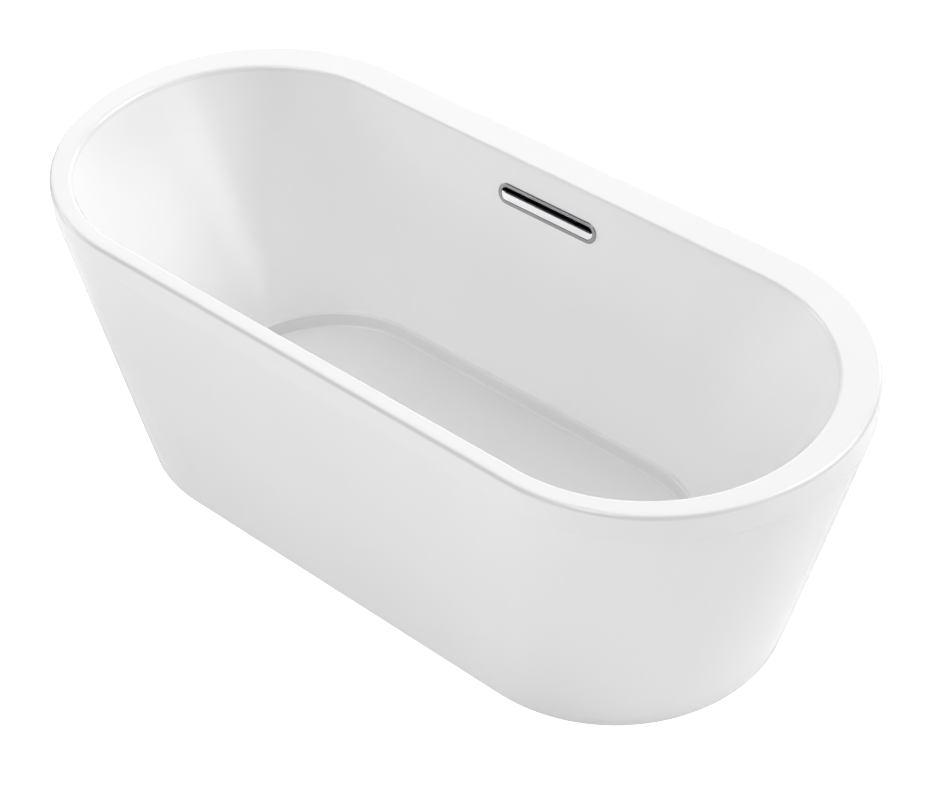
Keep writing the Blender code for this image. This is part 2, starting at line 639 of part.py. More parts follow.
def make_overflow_plate(mat, frame):
    """The slot's cover: a crowned plate that leans out at its low top edge, on two posts."""
    rings = []
    for shrink, depth in ((0.0, -0.0010), (0.0, 0.0006), (0.0060, 0.0018)):
        ring = stadium(PLATE_LENGTH - shrink, PLATE_HEIGHT - shrink, depth)
        for point in ring:
            point.y *= PLATE_TOP_SHARE if point.y > 0 else 1.0
        rings.append(ring)
    plate = from_bmesh("overflow_plate", loft(rings, fill_first=True, fill_last=True), mat["chrome"])
    plate.location = (0, 0, PLATE_FRONT)
    plate.rotation_euler = (PLATE_TILT, 0, 0)
    in_frame(plate, frame)
    for name, x in (("left", -SCREW_X), ("right", SCREW_X)):
        centre = (x, -POST_DROP, -0.0041)
        post = rod(f"plate_post_{name}", POST_RADIUS, POST_LENGTH, centre, helper=True, sides=8)
        cut(plate, in_frame(post, frame), "UNION")


def bent_route(points, radius, steps):
    """The points of a line with one bend of the given radius at its middle point."""
    start, corner, end = points
    back, onward = (start - corner).normalized(), (end - corner).normalized()
    half = back.angle(onward) / 2
    reach = radius / math.tan(half)
    centre = corner + (back + onward).normalized() * (radius / math.sin(half))
    first = corner + back * reach - centre
    last = corner + onward * reach - centre
    turn = first.angle(last)
    route = [start]
    for step in range(steps + 1):
        share = step / steps
        weight = math.sin((1 - share) * turn), math.sin(share * turn)
        route.append(centre + (first * weight[0] + last * weight[1]) / math.sin(turn))
    return route + [end]


def make_pipes(mat, tools, frame):
    """The tee under the drain, its nut and tail, and the pipe that brings the overflow to it."""
    tee_centre = Vector((DRAIN_X, DRAIN_Y, TEE_Z))
    middle = tee_centre + Vector((0, 0, TEE_RISE))
    tee = rod("waste_tee", TEE_RADIUS, TEE_HEIGHT, middle, material=mat["pipe_plastic"])
    cut(tee, tools["tee_branch"], "UNION")
    cut(tee, tools["tee_bore"])
    cut(tee, tools["tee_branch_bore"])
    at = (DRAIN_X, DRAIN_Y, 0)
    turned("tee_nut", [
        (0.0224, 0.0685), (0.0290, 0.0685), (0.0325, 0.0670), (0.0325, 0.0560), (0.0270, 0.0560),
        (0.0270, 0.0637), (0.0224, 0.0650)], at, mat["pipe_plastic"], steps=SMALL_TURN_STEPS)
    turned("tail_pipe", [
        (0.0172, 0.0320), (0.0191, 0.0320), (0.0191, 0.0120), (0.0172, 0.0120)], at, mat["pipe_plastic"])
    route = bent_route(tools["pipe_points"], PIPE_BEND, 7)
    curve = bpy.data.curves.new("overflow_pipe", "CURVE")
    curve.dimensions = "3D"
    curve.bevel_depth = PIPE_RADIUS
    curve.bevel_resolution = 4
    spline = curve.splines.new("POLY")
    spline.points.add(len(route) - 1)
    for point, where in zip(spline.points, route):
        point.co = (*where, 1)
    pipe = bpy.data.objects.new("overflow_pipe", curve)
    bpy.context.scene.collection.objects.link(pipe)
    mesh = baked_mesh(pipe)
    bpy.data.objects.remove(pipe)
    pipe = bpy.data.objects.new("overflow_pipe", mesh)
    bpy.context.scene.collection.objects.link(pipe)
    solidify(place(pipe, mat["pipe_plastic"]), PIPE_WALL)
    upper, lower = tools["nut_places"]
    for name, spot in (("upper", upper), ("lower", lower)):
        nut = turned(f"overflow_nut_{name}", [
            (PIPE_RADIUS + 0.0005, 0.0110), (PIPE_RADIUS + 0.0050, 0.0110), (PIPE_RADIUS + 0.0070, 0.0090),
            (PIPE_RADIUS + 0.0070, -0.0110), (PIPE_RADIUS + 0.0040, -0.0110), (PIPE_RADIUS + 0.0040, 0.0060),
            (PIPE_RADIUS + 0.0005, 0.0080)], (0, 0, 0), mat["pipe_plastic"], steps=SMALL_TURN_STEPS)
        nut.matrix_world = spot


# ---- cutters -----------------------------------------------------------------------------------------
def make_tools(frame):
    """Every cutter and joined-on shape, by name."""
    at = Vector((DRAIN_X, DRAIN_Y, 0))
    tools = make_round_cutters(at)
    tools["stud_holes"] = {
        side: [rod(f"stud_hole_{side}_{index}", STUD_RADIUS + CLEARANCE, 2 * RAIL_SIDE, (x, y, RAIL_Z),
                   helper=True, sides=BORE_STEPS) for index, x in enumerate(FOOT_X)]
        for side, y in zip(("front", "back"), RAIL_Y)}
    tools["strainer"] = make_strainer(at)
    slot, hole = (SLOT_LENGTH, SLOT_HEIGHT), (BACKING_HOLE_LENGTH, BACKING_HOLE_HEIGHT)
    tools["overflow_slot"] = pill_ring(
        "overflow_slot", [(*slot, -0.030), (*slot, 0.030)], frame, helper=True, closed=False)
    tools["backing_overflow_hole"] = pill_ring(
        "backing_overflow_hole", [(*hole, -0.060), (*hole, 0.030)], frame, helper=True, closed=False)
    make_screw_tools(tools, frame)
    inner = (CHAMBER_LENGTH - 2 * CHAMBER_WALL, CHAMBER_HEIGHT - 2 * CHAMBER_WALL)
    floor = CHAMBER_WALL - ACRYLIC - GAP - CHAMBER_DEPTH
    tools["chamber_hollow"] = pill_ring("chamber_hollow", [
        (inner[0] - 0.0080, inner[1] - 0.0080, floor), (*inner, floor + 0.0020), (*inner, 0.0200)],
        frame, helper=True, closed=False)
    make_pipe_tools(tools, frame, at)
    return tools


def make_round_cutters(at):
    """The round cutters of the basin's floor, the board, the nuts and the tee."""
    floor, depth = at + Vector((0, 0, FLOOR_Z)), 0.08
    tee = at + Vector((0, 0, TEE_Z))
    return {
        "drain_hole": rod("drain_hole", DRAIN_HOLE_RADIUS, depth, floor, helper=True),
        "backing_drain_hole": rod("backing_drain_hole", BACKING_HOLE_RADIUS, depth, floor, helper=True),
        "board_hole": rod("board_hole", BOARD_HOLE_RADIUS, depth, floor, helper=True),
        "nut_bore": rod("nut_bore", STUD_RADIUS + CLEARANCE, depth, (0, 0, 0), helper=True, sides=BORE_STEPS),
        "tee_bore": rod("tee_bore", TEE_BORE_RADIUS, depth, tee, helper=True),
    }


def make_strainer(at):
    """The cross in the waste's throat: a hub with three spokes, joined on to the flange."""
    hub = turned("strainer", [
        (0.0020, 0.0880), (0.0075, 0.0880), (0.0075, 0.0850), (0.0020, 0.0850)],
        at, helper=True, steps=SMALL_TURN_STEPS)
    hub_z, spoke_middle = 0.0865, 0.0140
    for index, angle in enumerate((30, 150, 270)):
        turn = Matrix.Rotation(math.radians(angle), 4, "Z")
        spoke = block(f"strainer_spoke_{index}", (0.0170, 0.0030, 0.0028), (0, 0, 0), helper=True)
        centre = Matrix.Translation(at + Vector((0, 0, hub_z)))
        spoke.matrix_world = centre @ turn @ Matrix.Translation((spoke_middle, 0, 0))
        cut(hub, spoke, "UNION")
    return hub


def make_screw_tools(tools, frame):
    """The bezel's bars, the bosses behind them, and the holes for the two screws."""
    bar = (BAR_WIDTH, OPENING_HEIGHT + BEZEL_SLEEVE, BAR_THICKNESS)
    tools["bezel_bars"] = []
    kinds = (("screw_holes", 0.0024, 0.0100, -0.0120), ("screw_bosses", 0.0050, 0.0350, -0.0355),
             ("boss_holes", 0.0024, 0.0300, -0.0290))
    for kind, _, _, _ in kinds:
        tools[kind] = []
    for name, x in (("left", -SCREW_X), ("right", SCREW_X)):
        piece = block(f"bezel_bar_{name}", bar, (x, 0, -BAR_DEPTH), helper=True)
        tools["bezel_bars"].append(in_frame(piece, frame))
        for kind, radius, length, depth in kinds:
            piece = rod(f"{kind}_{name}", radius, length, (x, 0, depth), helper=True, sides=BORE_STEPS)
            tools[kind].append(in_frame(piece, frame))


def make_pipe_tools(tools, frame, at):
    """The spigots on the chamber and the tee, their bores, and the route of the pipe between them."""
    out = PIPE_OUT
    outer, bore = PIPE_RADIUS + SOCKET_WALL, PIPE_RADIUS + CLEARANCE
    quarter = Matrix.Rotation(math.pi / 2, 4, "X")
    spigots = (("spigot", outer, -0.0185, -0.0500), ("spigot_bore", bore, -0.0150, -0.0600))
    for name, radius, start, end in spigots:
        piece = rod(name, radius, start - end, (0, 0, 0), helper=True)
        piece.matrix_world = Matrix.Translation((OUTLET_X, (start + end) / 2, out)) @ quarter
        tools[name] = in_frame(piece, frame)
    top = overflow_point(frame, OUTLET_X, -0.0280, out)
    fall = (overflow_point(frame, OUTLET_X, -1.0, out) - top).normalized()
    corner = top + fall * ((top.z - TEE_Z) / -fall.z)
    tee = Vector((at.x, at.y, TEE_Z))
    heading = (corner - tee).normalized()
    tools["pipe_points"] = (top, corner, tee + heading * 0.0360)
    turn = heading.to_track_quat("Z", "Y").to_matrix().to_4x4()
    branches = (("tee_branch", outer, 0.010, TEE_REACH), ("tee_branch_bore", bore, 0.012, 0.0700))
    for name, radius, low, high in branches:
        tools[name] = rod(name, radius, high - low, tee + heading * (low + high) / 2, turn, helper=True)
    down = fall.to_track_quat("Z", "Y").to_matrix().to_4x4()
    upper = Matrix.Translation(top + fall * 0.0250) @ down
    lower = Matrix.Translation(tee + heading * 0.0560) @ turn
    tools["nut_places"] = (upper, lower)


def make_batten(mat):
    """The timber batten bonded under the wide back deck."""
    y = RIM_WIDTH / 2 - BATTEN_INSET - BATTEN_DEPTH / 2
    z = HEIGHT - ACRYLIC - GAP - BATTEN_HEIGHT / 2
    block("rim_batten", (BATTEN_LENGTH, BATTEN_DEPTH, BATTEN_HEIGHT), (0, y, z), mat["timber"])


def main():
    """Build the whole bath."""
    clear_scene()
    mat = make_materials()
    frame = overflow_frame()
    tools = make_tools(frame)
    make_basin(mat, tools)
    make_backing(mat, tools)
    make_skirt(mat)
    make_board(mat, tools)
    make_batten(mat)
    make_frame(mat, tools)
    make_feet(mat, tools)
    make_drain(mat, tools)
    make_overflow(mat, tools, frame)
    make_pipes(mat, tools, frame)


main()
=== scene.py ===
"""Looks for a freestanding double-skinned acrylic bath.

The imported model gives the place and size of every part. Each class below makes the fine surface of one
sub-assembly, dresses it, and lets it ride on its body. All lengths are in metres, +Z is up.
"""

import logging
import math
from collections.abc import Callable, Iterable, Sequence
from dataclasses import dataclass, field
from enum import Enum

import bmesh
import bpy
from mathutils import Matrix, Vector


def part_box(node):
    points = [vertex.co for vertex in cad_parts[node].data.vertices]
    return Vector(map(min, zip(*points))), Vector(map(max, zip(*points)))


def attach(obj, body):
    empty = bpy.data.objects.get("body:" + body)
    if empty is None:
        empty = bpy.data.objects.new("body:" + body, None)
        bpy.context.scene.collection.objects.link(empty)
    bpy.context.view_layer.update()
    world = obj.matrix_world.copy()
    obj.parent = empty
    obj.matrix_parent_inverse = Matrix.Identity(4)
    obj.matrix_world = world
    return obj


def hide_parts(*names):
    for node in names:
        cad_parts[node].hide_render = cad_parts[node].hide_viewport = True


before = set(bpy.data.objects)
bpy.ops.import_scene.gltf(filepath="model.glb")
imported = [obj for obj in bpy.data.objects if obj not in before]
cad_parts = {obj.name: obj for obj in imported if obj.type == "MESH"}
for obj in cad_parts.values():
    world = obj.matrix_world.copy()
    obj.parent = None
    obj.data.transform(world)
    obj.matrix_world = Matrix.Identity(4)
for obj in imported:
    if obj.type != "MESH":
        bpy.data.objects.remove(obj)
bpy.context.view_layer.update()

LOG = logging.getLogger("bath")

Point = tuple[float, float]
Ring = list[Vector]


# ---- names -------------------------------------------------------------------------------------------
class Slot(Enum):
    """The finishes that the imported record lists."""

    ACRYLIC = "acrylic"
    GLASS_FIBRE = "glass_fibre"
    BOARD = "board"
    TIMBER = "timber"
    ZINC_STEEL = "zinc_steel"
    CHROME = "chrome"
    BRASS = "brass"
    PIPE_PLASTIC = "pipe_plastic"
    BLACK_PLASTIC = "black_plastic"
    RUBBER = "rubber"


class Body(Enum):
    """The bodies that pieces ride on. A foot's body has its number after the word."""

    BATH = "bath"
    STOPPER = "stopper"
    FOOT = "foot_"


# ---- shader tools ------------------------------------------------------------------------------------
class Graph:
    """Adds nodes to one node tree and links them."""

    def __init__(self, tree: bpy.types.NodeTree) -> None:
        """Wrap a tree.

        Args:
            tree: The node tree of a material, a group or a world.
        """
        self.tree = tree

    def add(self, kind: str, settings: dict[str, object] | None = None, **inputs: object) -> bpy.types.Node:
        """Add a node.

        Args:
            kind: The node's type, without its ShaderNode prefix.
            settings: Properties of the node itself.
            **inputs: Values or sockets, by input name with _ for a space, or i0, i1 and so on by place.

        Returns:
            The new node.
        """
        node = self.tree.nodes.new("ShaderNode" + kind)
        for name, value in (settings or {}).items():
            setattr(node, name, value)
        for name, value in inputs.items():
            by_place = name[0] == "i" and name[1:].isdigit()
            socket = node.inputs[int(name[1:]) if by_place else name.replace("_", " ")]
            if isinstance(value, bpy.types.NodeSocket):
                self.tree.links.new(value, socket)
            else:
                socket.default_value = value
        return node

    def math(self, operation: str, first: object, second: object = 0.0,
             clamp: bool = False) -> bpy.types.NodeSocket:
        """Add a Math node and return its result.

        Args:
            operation: The Math node's operation.
            first: Its first value or socket.
            second: Its second value or socket.
            clamp: Whether the result is kept between 0 and 1.

        Returns:
            The result socket.
        """
        settings = {"operation": operation, "use_clamp": clamp}
        return self.add("Math", settings, i0=first, i1=second).outputs[0]

    def remap(self, value: object, low: float, high: float, to_low: object,
              to_high: object) -> bpy.types.NodeSocket:
        """Map a range of values to another, and hold it inside that.

        Args:
            value: The value or socket to map.
            low: Where the source range starts.
            high: Where it ends.
            to_low: What low becomes.
            to_high: What high becomes.

        Returns:
            The mapped value's socket.
        """
        node = self.add("MapRange", None, Value=value, From_Min=low, From_Max=high, To_Min=to_low,
                        To_Max=to_high)
        return node.outputs["Result"]

    def mix(self, factor: object, first: object, second: object, blend: str = "MIX") -> bpy.types.NodeSocket:
        """Mix two colours.

        Args:
            factor: How much of the second colour shows.
            first: The first colour or socket.
            second: The second colour or socket.
            blend: The Mix node's blend type.

        Returns:
            The mixed colour's socket.
        """
        node = self.add("Mix", {"data_type": "RGBA", "blend_type": blend}, i0=factor, i6=first, i7=second)
        return node.outputs[2]


def make_group(name: str, inputs: dict[str, object], outputs: dict[str, str]) -> tuple[Graph, object, object]:
    """Start a shader node group.

    Args:
        name: The group's name.
        inputs: Each input's name and default, a float for a value or a tuple for a colour.
        outputs: Each output's name and socket type.

    Returns:
        The group's graph, its input node and its output node.
    """
    tree = bpy.data.node_groups.new(name, "ShaderNodeTree")
    for key, value in inputs.items():
        kind = "NodeSocketFloat" if isinstance(value, float) else "NodeSocketColor"
        socket = tree.interface.new_socket(name=key, in_out="INPUT", socket_type=kind)
        socket.default_value = value
    for key, kind in outputs.items():
        tree.interface.new_socket(name=key, in_out="OUTPUT", socket_type=kind)
    graph = Graph(tree)
    start = tree.nodes.new("NodeGroupInput")
    end = tree.nodes.new("NodeGroupOutput")
    return graph, start, end


class Effects:
    """The shader node groups that several finishes share."""

    def __init__(self) -> None:
        """Build every group once."""
        self.grain = self._make_grain()
        self.marks = self._make_marks()
        self.dust = self._make_dust()
        # A mask of painted shade on the rolled rim edges and the floor step.
        self.rim = self._make_painted_edge_shade()

    def place(self, graph: Graph, group: bpy.types.NodeTree, **inputs: object) -> bpy.types.Node:
        """Place a group in a material.

        Args:
            graph: The material's graph.
            group: One of this object's groups.
            **inputs: Values or sockets, by input name with _ for a space.

        Returns:
            The group's node.
        """
        node = graph.tree.nodes.new("ShaderNodeGroup")
        node.node_tree = group
        for name, value in inputs.items():
            socket = node.inputs[name.replace("_", " ")]
            if isinstance(value, bpy.types.NodeSocket):
                graph.tree.links.new(value, socket)
            else:
                socket.default_value = value
        return node

    @staticmethod
    def _make_grain() -> bpy.types.NodeTree:
        """A fine surface texture: a height for Bump and a mask of its peaks.

        Returns:
            The group.
        """
        graph, start, end = make_group(
            "fine_grain", {"Scale": 400.0, "Waves": 20.0, "Wave Share": 0.3},
            {"Height": "NodeSocketFloat", "Mask": "NodeSocketFloat"})
        where = graph.add("TexCoord").outputs["Object"]
        fine = graph.add("TexNoise", None, Vector=where, Scale=start.outputs["Scale"], Detail=4.0,
                         Roughness=0.6)
        slow = graph.add("TexNoise", None, Vector=where, Scale=start.outputs["Waves"], Detail=1.0)
        waves = graph.math("MULTIPLY", slow.outputs["Fac"], start.outputs["Wave Share"])
        rest = graph.math("SUBTRACT", 1.0, start.outputs["Wave Share"])
        grain = graph.math("MULTIPLY", fine.outputs["Fac"], rest)
        height = graph.math("ADD", grain, waves)
        graph.tree.links.new(height, end.inputs["Height"])
        mask = graph.remap(fine.outputs["Fac"], 0.45, 0.65, 0.0, 1.0)
        graph.tree.links.new(mask, end.inputs["Mask"])
        return graph.tree

    @staticmethod
    def _make_marks() -> bpy.types.NodeTree:
        """Wiping and handling marks: a roughness that varies in soft patches and faint streaks.

        Returns:
            The group.
        """
        graph, start, end = make_group(
            "handling_marks", {"Clean": 0.1, "Marked": 0.2, "Patch Scale": 5.0, "Streak Scale": 60.0},
            {"Roughness": "NodeSocketFloat", "Mask": "NodeSocketFloat"})
        where = graph.add("TexCoord").outputs["Object"]
        patches = graph.add("TexNoise", None, Vector=where, Scale=start.outputs["Patch Scale"], Detail=3.0,
                            Distortion=0.8)
        bent = graph.add("VectorMath", {"operation": "MULTIPLY"}, i0=where, i1=(0.15, 1.0, 1.0)).outputs[0]
        streaks = graph.add("TexNoise", None, Vector=bent, Scale=start.outputs["Streak Scale"], Detail=5.0)
        patch = graph.remap(patches.outputs["Fac"], 0.42, 0.68, 0.0, 1.0)
        streak = graph.remap(streaks.outputs["Fac"], 0.5, 0.75, 0.0, 0.6)
        both = graph.math("MAXIMUM", graph.math("MULTIPLY", patch, streak),
                          graph.math("MULTIPLY", patch, 0.4))
        low = start.outputs["Clean"]
        spread = graph.math("SUBTRACT", start.outputs["Marked"], low)
        roughness = graph.math("ADD", low, graph.math("MULTIPLY", spread, both))
        graph.tree.links.new(roughness, end.inputs["Roughness"])
        graph.tree.links.new(both, end.inputs["Mask"])
        return graph.tree

    @staticmethod
    def _make_painted_edge_shade() -> bpy.types.NodeTree:
        """A mask of painted shade: the rim's rolled edges, weakly the mouth's, and the step's face are drawn
        greyer than the sheet, where shade falls.

        Returns:
            The group.
        """
        graph, start, end = make_group("painted_edge_shade", {"Rim Z": 0.59, "Step Z": 0.14},
                                       {"Mask": "NodeSocketFloat"})
        place = graph.add("TexCoord").outputs["Object"]
        z = graph.add("SeparateXYZ", None, Vector=place).outputs["Z"]
        normal = graph.add("NewGeometry").outputs["Normal"]
        up = graph.add("SeparateXYZ", None, Vector=normal).outputs["Z"]
        # The rolled edges are where the surface turns between upright and level.
        turn = graph.math("MULTIPLY", graph.remap(up, 0.10, 0.55, 0.0, 1.0),
                          graph.remap(up, 0.80, 0.97, 1.0, 0.0))
        high = graph.math("GREATER_THAN", z, start.outputs["Rim Z"])
        # The level part of normal . place is above 0 on faces that look away from the bath's middle.
        outward = graph.add("VectorMath", {"operation": "DOT_PRODUCT"})
        graph.tree.links.new(place, outward.inputs[0])
        graph.tree.links.new(normal, outward.inputs[1])
        flat = graph.math("SUBTRACT", outward.outputs["Value"], graph.math("MULTIPLY", up, z))
        side = graph.remap(flat, -0.02, 0.02, 0.40, 1.0)
        rim = graph.math("MULTIPLY", graph.math("MULTIPLY", turn, high), side)
        # Painted shade on the step's inward face below Step Z, fading as the surface turns level.
        low = graph.math("LESS_THAN", z, start.outputs["Step Z"])
        inward = graph.math("LESS_THAN", flat, 0.0)
        step = graph.math("MULTIPLY", graph.math("MULTIPLY", low, inward),
                          graph.remap(up, 0.55, 0.92, 0.75, 0.0))
        graph.tree.links.new(graph.math("MAXIMUM", rim, step), end.inputs["Mask"])
        return graph.tree

    @staticmethod
    def _make_dust() -> bpy.types.NodeTree:
        """Workshop dust: it settles on what faces up, in uneven patches.

        Returns:
            The group.
        """
        graph, start, end = make_group(
            "settled_dust", {"Colour": (0.5, 0.5, 0.5, 1.0), "Dust Colour": (0.62, 0.60, 0.56, 1.0),
                             "Amount": 0.3},
            {"Colour": "NodeSocketColor", "Mask": "NodeSocketFloat"})
        up = graph.add("SeparateXYZ", None, Vector=graph.add("NewGeometry").outputs["Normal"]).outputs["Z"]
        lying = graph.remap(up, 0.2, 0.95, 0.1, 1.0)
        where = graph.add("TexCoord").outputs["Object"]
        patches = graph.add("TexNoise", None, Vector=where, Scale=38.0, Detail=6.0, Roughness=0.65)
        patchy = graph.remap(patches.outputs["Fac"], 0.38, 0.70, 0.0, 1.0)
        mask = graph.math("MULTIPLY", graph.math("MULTIPLY", lying, patchy), start.outputs["Amount"],
                          clamp=True)
        colour = graph.mix(mask, start.outputs["Colour"], start.outputs["Dust Colour"])
        graph.tree.links.new(colour, end.inputs["Colour"])
        graph.tree.links.new(mask, end.inputs["Mask"])
        return graph.tree


# ---- finishes ----------------------------------------------------------------------------------------
@dataclass(frozen=True)
class Finish:
    """A finish with one Principled shader, which each kind of finish wires in its own way."""

    name: str
    colour: tuple[float, float, float]
    roughness: float

    def make(self, effects: Effects) -> bpy.types.Material:
        """Build the material.

        Args:
            effects: The shared node groups.

        Returns:
            The material.
        """
        material = bpy.data.materials.new(self.name)
        material.use_nodes = True
        material.diffuse_color = (*self.colour, 1.0)
        shader = material.node_tree.nodes["Principled BSDF"]
        shader.inputs["Base Color"].default_value = (*self.colour, 1.0)
        shader.inputs["Roughness"].default_value = self.roughness
        self.wire(Graph(material.node_tree), shader, effects)
        return material

    def wire(self, graph: Graph, shader: bpy.types.Node, effects: Effects) -> None:
        """Add this finish's own nodes.

        Args:
            graph: The material's graph.
            shader: Its Principled shader.
            effects: The shared node groups.
        """

    def tint(self, share: float) -> tuple[float, float, float, float]:
        """The finish's colour, darkened to a share of itself."""
        return tuple(channel * share for channel in self.colour) + (1.0,)

    @staticmethod
    def relief(graph: Graph, shader: bpy.types.Node, height: bpy.types.NodeSocket, strength: float,
               distance: float) -> None:
        """Turn a height into the shader's normal.

        Args:
            graph: The material's graph.
            shader: Its Principled shader.
            height: The height to use.
            strength: The Bump node's strength.
            distance: The depth of a full step of height.
        """
        bump = graph.add("Bump", None, Strength=strength, Distance=distance, Height=height)
        graph.tree.links.new(bump.outputs["Normal"], shader.inputs["Normal"])


@dataclass(frozen=True)
class GlossAcrylic(Finish):
    """Cast acrylic sheet: bright white under a clear gloss, with the faint ripple of a drawn sheet."""

    ripple: float = 0.012
    marked: float = 0.16
    # Where the painted edge shade starts on the rim and ends above the step, and how much of the sheet's
    # colour is left under it.
    edge_from: float = 0.5905
    step_to: float = 0.1435
    edge_shade_share: float = 0.80

    def wire(self, graph: Graph, shader: bpy.types.Node, effects: Effects) -> None:
        """Wire the gloss, its marks, painted shade on the rolled edges and the step, and the sheet's ripple.

        Args:
            graph: The material's graph.
            shader: Its Principled shader.
            effects: The shared node groups.
        """
        shader.inputs["IOR"].default_value = 1.49
        marks = effects.place(graph, effects.marks, Clean=self.roughness, Marked=self.marked,
                              Patch_Scale=3.2, Streak_Scale=46.0)
        graph.tree.links.new(marks.outputs["Roughness"], shader.inputs["Roughness"])
        cloud = graph.add("TexNoise", None, Vector=graph.add("TexCoord").outputs["Object"], Scale=2.3,
                          Detail=2.0)
        tone = graph.remap(cloud.outputs["Fac"], 0.3, 0.7, 0.0, 1.0)
        colour = graph.mix(tone, (*self.colour, 1.0), self.tint(0.985))
        # Painted shade: the rolled edges and the step's face are drawn greyer than the sheet.
        edge = effects.place(graph, effects.rim, Rim_Z=self.edge_from, Step_Z=self.step_to)
        colour = graph.mix(edge.outputs["Mask"], colour, self.tint(self.edge_shade_share))
        graph.tree.links.new(colour, shader.inputs["Base Color"])
        grain = effects.place(graph, effects.grain, Scale=260.0, Waves=14.0, Wave_Share=0.75)
        self.relief(graph, shader, grain.outputs["Height"], self.ripple, 0.0015)


@dataclass(frozen=True)
class PolishedMetal(Finish):
    """Polished plate, with wiping marks that dull it here and there."""

    marked: float = 0.14
    streaks: float = 160.0

    def wire(self, graph: Graph, shader: bpy.types.Node, effects: Effects) -> None:
        """Wire the metal, its marks and the polishing lines.

        Args:
            graph: The material's graph.
            shader: Its Principled shader.
            effects: The shared node groups.
        """
        shader.inputs["Metallic"].default_value = 1.0
        marks = effects.place(graph, effects.marks, Clean=self.roughness, Marked=self.marked,
                              Patch_Scale=34.0, Streak_Scale=self.streaks)
        graph.tree.links.new(marks.outputs["Roughness"], shader.inputs["Roughness"])
        colour = graph.mix(marks.outputs["Mask"], (*self.colour, 1.0), self.tint(0.93))
        graph.tree.links.new(colour, shader.inputs["Base Color"])
        grain = effects.place(graph, effects.grain, Scale=900.0, Waves=70.0, Wave_Share=0.4)
        self.relief(graph, shader, grain.outputs["Height"], 0.03, 0.0004)


@dataclass(frozen=True)
class ZincPlate(Finish):
    """Zinc plated steel: spangled grey with a cool cast, dusty on top."""

    spangle: float = 130.0

    def wire(self, graph: Graph, shader: bpy.types.Node, effects: Effects) -> None:
        """Wire the spangle, the dust and the rolled surface.

        Args:
            graph: The material's graph.
            shader: Its Principled shader.
            effects: The shared node groups.
        """
        shader.inputs["Metallic"].default_value = 0.95
        where = graph.add("TexCoord").outputs["Object"]
        cells = graph.add("TexVoronoi", None, Vector=where, Scale=self.spangle, Randomness=1.0)
        bright = graph.add("SeparateColor", None, Color=cells.outputs["Color"]).outputs[0]
        colour = graph.mix(bright, self.tint(0.72), (*self.colour, 1.0))
        dust = effects.place(graph, effects.dust, Colour=colour, Amount=0.35)
        graph.tree.links.new(dust.outputs["Colour"], shader.inputs["Base Color"])
        rough = graph.remap(bright, 0.0, 1.0, self.roughness - 0.08, self.roughness + 0.12)
        graph.tree.links.new(graph.math("ADD", rough, dust.outputs["Mask"], clamp=True),
                             shader.inputs["Roughness"])
        grain = effects.place(graph, effects.grain, Scale=700.0, Waves=90.0, Wave_Share=0.3)
        self.relief(graph, shader, grain.outputs["Height"], 0.15, 0.0006)


@dataclass(frozen=True)
class TurnedBrass(Finish):
    """Brass off a lathe: fine rings, and a dull bloom."""

    def wire(self, graph: Graph, shader: bpy.types.Node, effects: Effects) -> None:
        """Wire the lathe rings and the bloom.

        Args:
            graph: The material's graph.
            shader: Its Principled shader.
            effects: The shared node groups.
        """
        shader.inputs["Metallic"].default_value = 1.0
        where = graph.add("TexCoord").outputs["Object"]
        rings = graph.add("TexWave", {"bands_direction": "Z"}, Vector=where, Scale=420.0, Distortion=1.5,
                          Detail=2.0)
        marks = effects.place(graph, effects.marks, Clean=self.roughness, Marked=self.roughness + 0.25,
                              Patch_Scale=40.0, Streak_Scale=120.0)
        graph.tree.links.new(marks.outputs["Roughness"], shader.inputs["Roughness"])
        colour = graph.mix(marks.outputs["Mask"], (*self.colour, 1.0), (0.42, 0.30, 0.16, 1.0))
        graph.tree.links.new(colour, shader.inputs["Base Color"])
        self.relief(graph, shader, rings.outputs["Fac"], 0.25, 0.0003)


@dataclass(frozen=True)
class MouldedPlastic(Finish):
    """Injection moulded plastic with a fine spark-eroded grain."""

    grain: float = 1100.0
    depth: float = 0.12
    dust: float = 0.15

    def wire(self, graph: Graph, shader: bpy.types.Node, effects: Effects) -> None:
        """Wire the mould's grain and a little dust.

        Args:
            graph: The material's graph.
            shader: Its Principled shader.
            effects: The shared node groups.
        """
        grain = effects.place(graph, effects.grain, Scale=self.grain, Waves=30.0, Wave_Share=0.25)
        shade = graph.mix(grain.outputs["Mask"], (*self.colour, 1.0), self.tint(0.9))
        dust = effects.place(graph, effects.dust, Colour=shade, Amount=self.dust)
        graph.tree.links.new(dust.outputs["Colour"], shader.inputs["Base Color"])
        rough = graph.remap(grain.outputs["Mask"], 0.0, 1.0, self.roughness, self.roughness + 0.12)
        graph.tree.links.new(rough, shader.inputs["Roughness"])
        self.relief(graph, shader, grain.outputs["Height"], self.depth, 0.0005)


